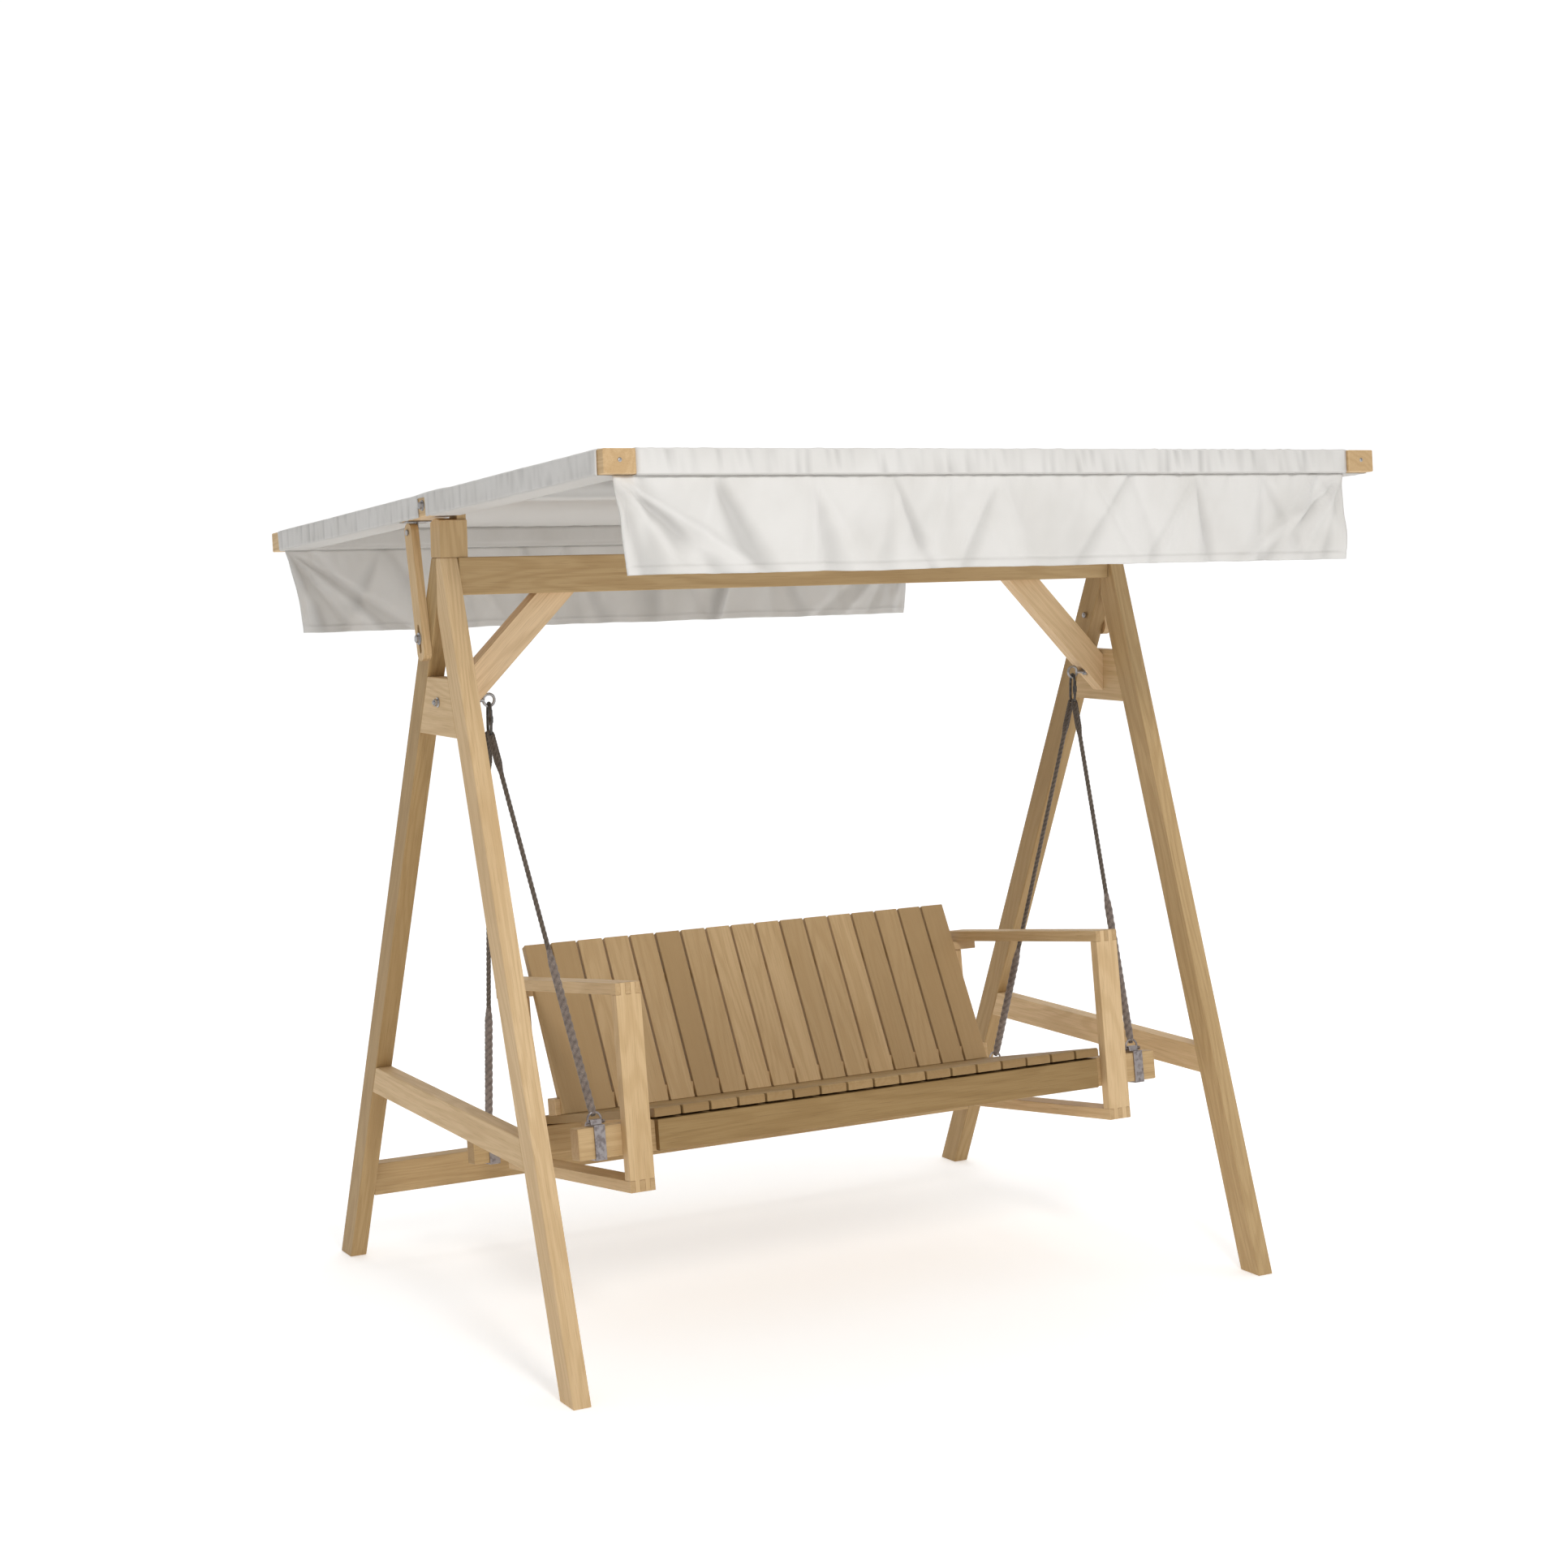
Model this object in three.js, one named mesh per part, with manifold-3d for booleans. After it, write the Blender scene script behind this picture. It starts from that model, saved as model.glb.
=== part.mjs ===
// Garden swing seat: a slatted bench hung on four ropes between two timber A-frames, under a tilting
// canvas canopy. Millimetres, +Z up, the front of the seat faces -Y, the floor is z = 0 and x = 0 is
// the middle of the swing. Everything is drawn with y = 0 where the legs of each A-frame meet, and the
// whole is then moved forwards, so that its origin is on the floor under the middle of the canopy.

import * as THREE from "three";
import { mergeVertices } from "three/addons/utils/BufferGeometryUtils.js";
import Module from "manifold-3d";

const wasm = await Module();
wasm.setup();

const GAP = 0.3; // between pieces that touch
const DEG = Math.PI / 180;

// The two A-frames. Left is -X, right is +X.
const FRAME_OUT = 1000; // outer faces of the A-frames
const LEG_THICK = 45;
const LEG_DEPTH = 70; // across the leg, square to its length
const FRONT_LEAN = 19.1 * DEG;
const REAR_LEAN = 23.1 * DEG;
const FRONT_TOE = -683.5; // front edge of the front foot
const REAR_TOE = 839; // rear edge of the rear foot
const TOP_Z = 1895; // top of the legs and of the beam
const MOVED_FORWARD = 65; // from the A-frames' middle to the canopy's
const BEAM_HIGH = 90;
const BEAM_DEEP = 70;
const TIE_LOW = 1468;
const TIE_HIGH = 1607;
const RAIL_LOW = 495;
const RAIL_HIGH = 565;
const STRETCHER_LOW = 182;
const STRETCHER_HIGH = 267;
const STRETCHER_Y = 682;
const BRACE_THICK = 45;
const BRACE_WIDE = 70; // square to its length
const BRACE_REACH = 644; // where the brace's lower edge meets the beam

// The eye bolts that carry the seat.
const EYE_Y = 12;
const EYE_Z = 1548;
const EYE_X = 868; // centre of the eye
const EYE_RING = 14.5;
const EYE_WIRE = 3.5;
const EYE_SHANK = 5;
const EYE_SEAT = 914; // flat seat of the shoulder in the brace
const SHOULDER_R = 10;
const SEAT_R = 15; // of the spot face
const SHANK_PROUD = 13; // how far the shank comes out of the frame
const SHANK_FIT = 0.1; // round a shank in its own nut
const EYE_NUT = [9, 12]; // hexagon's radius, washer's radius
const NUT_HIGH = 10;
const BORE_X = [800, 1100]; // from inside the brace to past the canopy

// The canopy, in its own frame: its origin is the pivot, +Y runs back along the side rails.
const PIVOT_Z = 2019;
const CANOPY_TILT = 4.28 * DEG;
const CANOPY_FRONT = -1010;
const CANOPY_REAR = 1140;
const SIDE_IN = 955;
const SIDE_OUT = 1030;
const RAIL_HALF = 26; // half the height of every canopy rail
const CROSS_DEEP = 52;
const FRONT_RAIL_Y = -1000;
const CROSS_RAIL_Y = -476;
const REAR_RAIL_Y = 1010;
const CLOTH = 2.4;
const SLIT_WIDE = 50; // opening in the side bands round the pivot bolts
const SLIT_TOP = 8; // from the top of the rail down to the opening
const FRONT_DROP = 205; // how far each valance hangs
const REAR_DROP = 226;
const SLEEVE_FRONT = -982;
const SLEEVE_REAR = 1072;
const POST_WIDE = 70;
const POST_HALF = 30;
const POST_BELOW = { front: 35, middle: 30.5, rear: 41 }; // from the pivot down to the post's top
const TONGUE_ROOT = 10; // over the legs
const TONGUE_THICK = 23;
const TONGUE_R = 24;
const PIVOT_R = 5;
const PIVOT_HEAD = [9, 13]; // hexagon's radius, washer's radius
const PIVOT_NUT_R = 11;
const HEAD_HIGH = 9;

// The struts that set the canopy's tilt.
const STRUT_THICK = 20;
const STRUT_WIDE = 45;
const STRUT_LONG = 293.5; // pin to the centre of the round lower end
const STRUT_SLOT = [234, 290]; // the slot's end centres, from the pin
const STRUT_SLOT_R = 7.4;
const PIN_Y = 130; // the pin in the canopy's frame
const PIN_Z = -54;
const PIN_R = 4;
const BRACKET_X = [962, 1024];
const EAR_R = 14;
const EAR_THICK = 3;
const CLAMP_Y = 70; // the clamp bolt in the rear leg
const CLAMP_Z = 1700;
const CLAMP_HEAD = [10, 15]; // hexagon's radius, washer's radius
const CLAMP_NUT_R = 8;

// The seat, in its own frame: s runs back, n runs up, both tilted with the seat as it hangs.
const SEAT_TILT = 7.4 * DEG;
const SEAT_ORIGIN = [0, -436, 402];
const ARM_IN = 663;
const ARM_WIDE = 65;
const ARM_THICK = 28;
const ARM_HIGH = 495;
const ARM_LONG = 735;
const ARM_FINGERS = 5;
const ARM_POST_IN = 654;
const ARM_POST_WIDE = 30;
const BEAM_END = 840; // half the length of the hanger beams
const HANGER = 45;
const FRONT_HANGER = [28.3, 88, 163]; // s, low n, high n
const REAR_HANGER = [688, 28.3, 103];
const FASCIA_END = 640;
const FASCIA_THICK = 20;
const SLATS = 17;
const SLAT_PITCH = 76.5;
const SLAT_WIDE = 70;
const SLAT_THICK = 22;
const SLAT_SLOPE = 5.2 * DEG;
const BATTENS = [190, 470]; // s of the front of each batten
const BATTEN_HIGH = 25;
const SEAT_LOW = 167.4; // underside of the seat slats at the front hanger beam's face
const BACK_LEAN = 21.9 * DEG;
const BACK_FOOT = 538; // s of the back slats' front lower edge, on the seat
const BACK_TOP = 574.5;
const ROPE_X = 785;
const ROPE_R = 6;
const SPLICE_R = 10.5;
const SPLICE_TAPER = 15;
const LOW_SPLICE = { front: 410, rear: 330 };
const TOP_SPLICE = 110;
const TOP_SPLICE_R = 7.9;

const WOOD = { color: 0xc9a873, roughness: 0.6, metalness: 0 };
const CANVAS = { color: 0xece8de, roughness: 0.9, metalness: 0 };
const STEEL = { color: 0xb8bbbd, roughness: 0.35, metalness: 1 };
const DARK_STEEL = { color: 0x3a3835, roughness: 0.5, metalness: 1 };
const ROPE = { color: 0x7b6a58, roughness: 0.95, metalness: 0 };

const swing = new THREE.Group();

// ---- Shapes ------------------------------------------------------------------------------------

function box(x0, x1, y0, y1, z0, z1) {
  const g = new THREE.BoxGeometry(Math.abs(x1 - x0), Math.abs(y1 - y0), Math.abs(z1 - z0));
  g.translate((x0 + x1) / 2, (y0 + y1) / 2, (z0 + z1) / 2);
  return g;
}

function outline(points) {
  return new THREE.Shape(points.map(([a, b]) => new THREE.Vector2(a, b)));
}

// A shape drawn in two axes and extruded along the third, as a matrix whose columns are the shape's
// first axis, its second axis and the extrusion.
const ALONG_X = [new THREE.Vector3(0, 1, 0), new THREE.Vector3(0, 0, 1), new THREE.Vector3(1, 0, 0)];
const ALONG_Y = [new THREE.Vector3(0, 0, 1), new THREE.Vector3(1, 0, 0), new THREE.Vector3(0, 1, 0)];
const ALONG_Z = [new THREE.Vector3(1, 0, 0), new THREE.Vector3(0, 1, 0), new THREE.Vector3(0, 0, 1)];

function extruded(shape, axes, from, to, segments = 8) {
  const depth = Math.abs(to - from);
  const g = new THREE.ExtrudeGeometry(shape, { depth, bevelEnabled: false, curveSegments: segments });
  g.translate(0, 0, Math.min(from, to));
  return g.applyMatrix4(new THREE.Matrix4().makeBasis(...axes));
}

// A round bar along X.
function barX(r, x0, x1, y, z, sides = 24) {
  const g = new THREE.CylinderGeometry(r, r, Math.abs(x1 - x0), sides);
  g.rotateZ(Math.PI / 2);
  g.translate((x0 + x1) / 2, y, z);
  return g;
}

// A hexagonal nut or bolt head along X, with its own washer on the side of x0.
function hexX(r, washer, x0, x1, y, z) {
  const side = Math.sign(x1 - x0);
  const rim = x0 + side * 2;
  return join([barX(washer, x0, rim, y, z), barX(r, rim - side * 0.5, x1, y, z, 6)]);
}

// ---- Booleans ----------------------------------------------------------------------------------

function solid(geometry) {
  const g = geometry.clone();
  g.deleteAttribute("normal");
  g.deleteAttribute("uv");
  const merged = mergeVertices(g, 1e-4);
  return new wasm.Manifold(
    new wasm.Mesh({
      numProp: 3,
      vertProperties: merged.attributes.position.array,
      triVerts: new Uint32Array(merged.index.array),
    }),
  );
}

function shown(manifold) {
  const mesh = manifold.getMesh();
  const g = new THREE.BufferGeometry();
  g.setAttribute("position", new THREE.BufferAttribute(new Float32Array(mesh.vertProperties), 3));
  g.setIndex(new THREE.BufferAttribute(new Uint32Array(mesh.triVerts), 1));
  g.computeVertexNormals();
  return g;
}

function join(geometries) {
  return shown(geometries.map(solid).reduce((a, b) => a.add(b)));
}

function cut(geometry, tools) {
  return shown(tools.map(solid).reduce((a, b) => a.subtract(b), solid(geometry)));
}

function piece(name, geometry, look, group = swing) {
  const mesh = new THREE.Mesh(geometry, new THREE.MeshStandardMaterial(look));
  mesh.name = name;
  group.add(mesh);
  return mesh;
}

const SIDES = [
  ["left", -1],
  ["right", 1],
];

// ---- A-frames ----------------------------------------------------------------------------------

const LEG_IN = FRAME_OUT - LEG_THICK;
const FRONT_RUN = Math.tan(FRONT_LEAN);
const REAR_RUN = Math.tan(REAR_LEAN);

// y of a leg's edges at height z: the front leg's rear edge and the rear leg's front edge face inwards.
const frontOuter = (z) => FRONT_TOE + FRONT_RUN * z;
const frontInner = (z) => frontOuter(z) + LEG_DEPTH / Math.cos(FRONT_LEAN);
const rearOuter = (z) => REAR_TOE - REAR_RUN * z;
const rearInner = (z) => rearOuter(z) - LEG_DEPTH / Math.cos(REAR_LEAN);

function frontLeg() {
  const meet = (-GAP / 2 - frontInner(0)) / FRONT_RUN;
  return outline([
    [frontOuter(0), 0],
    [frontInner(0), 0],
    [-GAP / 2, meet],
    [-GAP / 2, TOP_Z],
    [frontOuter(TOP_Z), TOP_Z],
  ]);
}

function rearLeg() {
  const meet = (rearInner(0) - GAP / 2) / REAR_RUN;
  return outline([
    [rearOuter(0), 0],
    [rearOuter(TOP_Z), TOP_Z],
    [GAP / 2, TOP_Z],
    [GAP / 2, meet],
    [rearInner(0), 0],
  ]);
}

// A board that fills the space between the two legs of a frame, from one height to another.
function betweenLegs(low, high) {
  return outline([
    [frontInner(low) + GAP, low],
    [rearInner(low) - GAP, low],
    [rearInner(high) - GAP, high],
    [frontInner(high) + GAP, high],
  ]);
}

function round(y, z, r) {
  const path = new THREE.Path();
  path.absarc(y, z, r, 0, Math.PI * 2, true);
  return path;
}

const braceWidth = BRACE_WIDE * Math.SQRT2; // along the beam
const braceLine = BRACE_REACH + TOP_Z - BEAM_HIGH;

// The knee brace, at 45 degrees between the tie block and the beam, with a flat seat for the eye bolt.
function brace(side) {
  const face = LEG_IN - GAP;
  const under = TOP_Z - BEAM_HIGH - GAP;
  const shape = outline([
    [braceLine - face, face],
    [braceLine + braceWidth - face, face],
    [under, braceLine + braceWidth - under],
    [under, braceLine - under],
  ]);
  const body = extruded(shape, ALONG_Y, EYE_Y - BRACE_THICK / 2, EYE_Y + BRACE_THICK / 2);
  const bore = barX(EYE_SHANK + GAP, ...BORE_X, EYE_Y, EYE_Z);
  const seat = barX(SEAT_R, BORE_X[0], EYE_SEAT, EYE_Y, EYE_Z);
  const geometry = cut(body, [bore, seat]);
  return side > 0 ? geometry : mirrored(geometry);
}

function mirrored(geometry) {
  const g = geometry.clone().applyMatrix4(new THREE.Matrix4().makeScale(-1, 1, 1));
  const index = g.index.array;
  for (let i = 0; i < index.length; i += 3) {
    [index[i + 1], index[i + 2]] = [index[i + 2], index[i + 1]];
  }
  g.computeVertexNormals();
  return g;
}

// The eye bolt: a threaded shank, a shoulder that sits in the brace, and the ring.
function eyeBolt(side) {
  const ring = new THREE.TorusGeometry(EYE_RING, EYE_WIRE, 8, 24);
  ring.rotateX(Math.PI / 2);
  ring.translate(EYE_X, EYE_Y, EYE_Z);
  const shank = barX(EYE_SHANK, EYE_X + EYE_RING, FRAME_OUT + SHANK_PROUD, EYE_Y, EYE_Z, 16);
  const shoulder = barX(SHOULDER_R, EYE_SEAT - 8, EYE_SEAT - GAP, EYE_Y, EYE_Z, 6);
  const geometry = join([shank, shoulder, ring]);
  return side > 0 ? geometry : mirrored(geometry);
}

// The post over the legs: a block under the side rail, and a tongue inside it for the pivot bolt.
function headPost(side) {
  const block = extruded(
    outline([
      [-POST_HALF, TOP_Z + GAP],
      [POST_HALF, TOP_Z + GAP],
      [POST_HALF, PIVOT_Z - POST_BELOW.rear],
      [0, PIVOT_Z - POST_BELOW.middle],
      [-POST_HALF, PIVOT_Z - POST_BELOW.front],
    ]),
    ALONG_X,
    FRAME_OUT - POST_WIDE,
    FRAME_OUT,
  );
  const top = outline([
    [-TONGUE_R, TOP_Z + TONGUE_ROOT],
    [TONGUE_R, TOP_Z + TONGUE_ROOT],
  ]);
  top.absarc(0, PIVOT_Z, TONGUE_R, 0, Math.PI, false);
  const tongueX = FRAME_OUT - POST_WIDE;
  const tongue = extruded(top, ALONG_X, tongueX, tongueX + TONGUE_THICK, 12);
  const bore = barX(PIVOT_R + SHANK_FIT, ...BORE_X, 0, PIVOT_Z, 32);
  const geometry = cut(join([block, tongue]), [bore]);
  return side > 0 ? geometry : mirrored(geometry);
}

for (const [hand, side] of SIDES) {
  const [inner, outer] = [side * LEG_IN, side * FRAME_OUT];
  piece("front_leg_" + hand, extruded(frontLeg(), ALONG_X, inner, outer), WOOD);

  const rear = rearLeg();
  rear.holes.push(round(CLAMP_Y, CLAMP_Z, PIN_R + GAP));
  piece("rear_leg_" + hand, extruded(rear, ALONG_X, inner, outer), WOOD);

  const tie = betweenLegs(TIE_LOW, TIE_HIGH);
  tie.holes.push(round(EYE_Y, EYE_Z, EYE_SHANK + GAP));
  piece("tie_block_" + hand, extruded(tie, ALONG_X, inner, outer), WOOD);

  piece("side_rail_" + hand, extruded(betweenLegs(RAIL_LOW, RAIL_HIGH), ALONG_X, inner, outer), WOOD);
  piece("knee_brace_" + hand, brace(side), WOOD);
  piece("head_post_" + hand, headPost(side), WOOD);
  piece("eye_bolt_" + hand, eyeBolt(side), STEEL);

  const nut = hexX(...EYE_NUT, side * (FRAME_OUT + GAP), side * (FRAME_OUT + NUT_HIGH), EYE_Y, EYE_Z);
  const thread = barX(EYE_SHANK + SHANK_FIT, side * BORE_X[0], side * BORE_X[1], EYE_Y, EYE_Z);
  piece("eye_bolt_nut_" + hand, cut(nut, [thread]), STEEL);
}

const beamEnd = LEG_IN - GAP;
const beam = box(-beamEnd, beamEnd, -BEAM_DEEP / 2, BEAM_DEEP / 2, TOP_Z - BEAM_HIGH, TOP_Z);
piece("top_beam", beam, WOOD);

const stretcherRear = STRETCHER_Y + LEG_THICK;
const stretcher = box(-beamEnd, beamEnd, STRETCHER_Y, stretcherRear, STRETCHER_LOW, STRETCHER_HIGH);
piece("rear_stretcher", stretcher, WOOD);

// ---- Canopy ------------------------------------------------------------------------------------

const canopy = new THREE.Group();
canopy.position.set(0, 0, PIVOT_Z);
canopy.rotation.x = -CANOPY_TILT;
swing.add(canopy);

for (const [hand, side] of SIDES) {
  const rail = outline([
    [CANOPY_FRONT, -RAIL_HALF],
    [CANOPY_REAR, -RAIL_HALF],
    [CANOPY_REAR, RAIL_HALF],
    [CANOPY_FRONT, RAIL_HALF],
  ]);
  rail.holes.push(round(0, 0, PIVOT_R + GAP));
  piece("canopy_side_rail_" + hand, extruded(rail, ALONG_X, side * SIDE_IN, side * SIDE_OUT), WOOD, canopy);
}

const CROSS_RAILS = [
  ["canopy_front_rail", FRONT_RAIL_Y],
  ["canopy_cross_rail", CROSS_RAIL_Y],
  ["canopy_rear_rail", REAR_RAIL_Y],
];
for (const [name, y] of CROSS_RAILS) {
  const x = SIDE_IN - GAP;
  piece(name, box(-x, x, y, y + CROSS_DEEP, -RAIL_HALF, RAIL_HALF), WOOD, canopy);
}

// The canvas over the rails: the top sheet with its bands down the outside of all four.
const clothTop = RAIL_HALF + GAP + CLOTH;
const clothOut = SIDE_OUT + GAP + CLOTH;
const clothFront = FRONT_RAIL_Y - GAP - CLOTH;
const clothRear = REAR_RAIL_Y + CROSS_DEEP + GAP + CLOTH;
const bandEnd = SIDE_IN - 3;
const cover = join([
  box(-clothOut, clothOut, SLEEVE_FRONT, SLEEVE_REAR, clothTop - CLOTH, clothTop),
  box(-clothOut, CLOTH - clothOut, SLEEVE_FRONT, SLEEVE_REAR, -RAIL_HALF, clothTop),
  box(clothOut - CLOTH, clothOut, SLEEVE_FRONT, SLEEVE_REAR, -RAIL_HALF, clothTop),
  box(-bandEnd, bandEnd, clothFront, SLEEVE_FRONT + 1, clothTop - CLOTH, clothTop),
  box(-bandEnd, bandEnd, clothFront, clothFront + CLOTH, -RAIL_HALF, clothTop),
  box(-bandEnd, bandEnd, clothRear - CLOTH, clothRear, -RAIL_HALF, clothTop),
]);
const past = clothOut + CLOTH;
const slit = box(-past, past, -SLIT_WIDE / 2, SLIT_WIDE / 2, -RAIL_HALF - CLOTH, RAIL_HALF - SLIT_TOP);
piece("canopy_cover", cut(cover, [slit]), CANVAS, canopy);

// The valances hang straight down under the front and rear rails, a little inside their outer faces.
const VALANCE_IN = 12;
const VALANCE_END = SIDE_IN + 20;
const VALANCES = [
  ["front_valance", clothFront + VALANCE_IN, FRONT_DROP],
  ["rear_valance", clothRear - VALANCE_IN, REAR_DROP],
];
for (const [name, y, drop] of VALANCES) {
  const hem = box(-VALANCE_END, VALANCE_END, 0, CLOTH, -drop, 0);
  hem.rotateX(CANOPY_TILT);
  hem.translate(0, y, -RAIL_HALF - 2 * GAP);
  piece(name, hem, CANVAS, canopy);
}

for (const [hand, side] of SIDES) {
  const outer = side * (SIDE_OUT + GAP);
  const nutFace = side * (FRAME_OUT - POST_WIDE);
  const bolt = join([
    hexX(...PIVOT_HEAD, outer, outer + side * HEAD_HIGH, 0, 0),
    barX(PIVOT_R, outer + side, nutFace - side * (HEAD_HIGH + 3), 0, 0, 32),
    barX(PIVOT_NUT_R, nutFace - side * GAP, nutFace - side * HEAD_HIGH, 0, 0, 6),
  ]);
  piece("canopy_pivot_bolt_" + hand, bolt, STEEL, canopy);

  // The strut's bracket under the side rail: a plate, an ear beside the strut, and the pin.
  const ear = outline([
    [PIN_Y - EAR_R, PIN_Z],
    [PIN_Y + EAR_R, PIN_Z],
    [PIN_Y + EAR_R, -RAIL_HALF - GAP],
    [PIN_Y - EAR_R, -RAIL_HALF - GAP],
  ]);
  const earX = side * (FRAME_OUT + 0.2);
  const pinEnd = side * (FRAME_OUT + STRUT_THICK + 1);
  const [plateIn, plateOut] = BRACKET_X.map((x) => side * x);
  const earIn = earX - side * EAR_THICK;
  const bracket = join([
    box(plateIn, plateOut, PIN_Y - EAR_R, PIN_Y + EAR_R, -RAIL_HALF - EAR_THICK, -RAIL_HALF - GAP),
    extruded(ear, ALONG_X, earX, earIn),
    barX(EAR_R, earX, earIn, PIN_Y, PIN_Z),
    barX(PIN_R, earX - side, pinEnd + side * 4, PIN_Y, PIN_Z),
    barX(8, pinEnd, pinEnd + side * 4, PIN_Y, PIN_Z, 6),
  ]);
  piece("strut_bracket_" + hand, bracket, STEEL, canopy);
}

// ---- Canopy struts -----------------------------------------------------------------------------

const pin = new THREE.Vector3(0, PIN_Y, PIN_Z);
canopy.updateMatrixWorld(true);
pin.applyMatrix4(canopy.matrixWorld);
const strutLean = Math.atan2(pin.y - CLAMP_Y, pin.z - CLAMP_Z);

// Drawn with the pin at the origin and the strut hanging down.
function strut() {
  const r = STRUT_WIDE / 2;
  const shape = new THREE.Shape();
  shape.absarc(0, 0, r, 0, Math.PI, false);
  shape.absarc(0, -STRUT_LONG, r, Math.PI, Math.PI * 2, false);
  shape.holes.push(round(0, 0, PIN_R + 0.1));
  const slot = new THREE.Path();
  slot.absarc(0, -STRUT_SLOT[1], STRUT_SLOT_R, 0, -Math.PI, true);
  slot.absarc(0, -STRUT_SLOT[0], STRUT_SLOT_R, -Math.PI, -Math.PI * 2, true);
  shape.holes.push(slot);
  return shape;
}

for (const [hand, side] of SIDES) {
  const near = side * (FRAME_OUT + 0.5);
  const board = extruded(strut(), ALONG_X, near, near + side * STRUT_THICK, 12);
  const mesh = piece("canopy_strut_" + hand, board, WOOD);
  mesh.position.set(0, pin.y, pin.z);
  mesh.rotation.x = -strutLean;

  const out = side * (FRAME_OUT + STRUT_THICK + 1);
  const clamp = join([
    hexX(...CLAMP_HEAD, out, out + side * HEAD_HIGH, CLAMP_Y, CLAMP_Z),
    barX(PIN_R, out + side, side * (LEG_IN - 10), CLAMP_Y, CLAMP_Z, 16),
    barX(CLAMP_NUT_R, side * (LEG_IN - GAP), side * (LEG_IN - CLAMP_NUT_R), CLAMP_Y, CLAMP_Z, 6),
  ]);
  piece("strut_clamp_bolt_" + hand, clamp, STEEL);
}

// ---- Seat --------------------------------------------------------------------------------------

const seat = new THREE.Group();
seat.position.set(...SEAT_ORIGIN);
seat.rotation.x = -SEAT_TILT;
swing.add(seat);

const hanger = ([s, low, high]) => box(-BEAM_END, BEAM_END, s, s + HANGER, low, high);
piece("front_hanger_beam", hanger(FRONT_HANGER), WOOD, seat);
piece("rear_hanger_beam", hanger(REAR_HANGER), WOOD, seat);
const [hangerFront, fasciaLow, fasciaHigh] = FRONT_HANGER;
const fasciaBack = hangerFront - GAP;
const fascia = box(-FASCIA_END, FASCIA_END, fasciaBack - FASCIA_THICK, fasciaBack, fasciaLow, fasciaHigh);
piece("seat_fascia", fascia, WOOD, seat);

const SLAT_X = Array.from({ length: SLATS }, (_, i) => (i - (SLATS - 1) / 2) * SLAT_PITCH);

// n of the underside of the seat slats at s.
const seatUnder = (s) => SEAT_LOW - (s - FRONT_HANGER[0]) * Math.tan(SLAT_SLOPE);
const slatRise = SLAT_THICK / Math.cos(SLAT_SLOPE);
const seatTop = (s) => seatUnder(s) + slatRise;

// The seat: the slats, with rounded front ends, and the two battens that they are screwed to.
function seatSlat(x) {
  const [front, rear] = [FRONT_HANGER[0] - GAP - FASCIA_THICK, ARM_LONG];
  const shape = outline([
    [front, seatUnder(front)],
    [rear, seatUnder(rear)],
    [rear, seatTop(rear)],
    [front + 8, seatTop(front + 8)],
    [front + 2, seatTop(front + 2) - 3],
    [front, seatTop(front) - 8],
  ]);
  return extruded(shape, ALONG_X, x - SLAT_WIDE / 2, x + SLAT_WIDE / 2);
}

function batten(s) {
  const end = SLAT_X[SLATS - 1];
  const shape = outline([
    [s, seatUnder(s) - BATTEN_HIGH],
    [s + HANGER, seatUnder(s + HANGER) - BATTEN_HIGH],
    [s + HANGER, seatUnder(s + HANGER) + 2],
    [s, seatUnder(s) + 2],
  ]);
  return extruded(shape, ALONG_X, -end, end);
}
piece("seat_slats", join([...SLAT_X.map(seatSlat), ...BATTENS.map(batten)]), WOOD, seat);

// The back: the slats, the upper rail that carries the arms, and the lower rail behind their feet.
function backSlat(x) {
  const run = Math.tan(BACK_LEAN);
  const deep = SLAT_THICK / Math.cos(BACK_LEAN);
  const s = BACK_FOOT;
  const head = s + (BACK_TOP - seatTop(s)) * run;
  const shape = outline([
    [s, seatTop(s) + GAP],
    [s + deep, seatTop(s + deep) + GAP],
    [head + SLAT_THICK * Math.cos(BACK_LEAN), BACK_TOP - SLAT_THICK * Math.sin(BACK_LEAN)],
    [head, BACK_TOP],
  ]);
  return extruded(shape, ALONG_X, x - SLAT_WIDE / 2, x + SLAT_WIDE / 2);
}

const ARM_UNDER = ARM_HIGH - ARM_THICK;
const UPPER_RAIL = [680, ARM_LONG - 2, ARM_UNDER - 25, ARM_UNDER - GAP]; // s, s, n, n
const LOWER_RAIL = [558, 604, 182]; // s, s, upper n
const upperEnd = ARM_IN + ARM_WIDE;
const lowerEnd = ARM_IN - 1;
const lowerRail = outline([
  [LOWER_RAIL[0], seatTop(LOWER_RAIL[0]) + GAP],
  [LOWER_RAIL[1], seatTop(LOWER_RAIL[1]) + GAP],
  [LOWER_RAIL[1], LOWER_RAIL[2]],
  [LOWER_RAIL[0], LOWER_RAIL[2]],
]);
piece(
  "back_slats",
  join([
    ...SLAT_X.map(backSlat),
    box(-upperEnd, upperEnd, ...UPPER_RAIL),
    extruded(lowerRail, ALONG_X, -lowerEnd, lowerEnd),
  ]),
  WOOD,
  seat,
);

// ---- Arms --------------------------------------------------------------------------------------

// The two finger-jointed boards of a corner share its width: one has the fingers that the other lacks.
const finger = ARM_WIDE / ARM_FINGERS;

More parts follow.
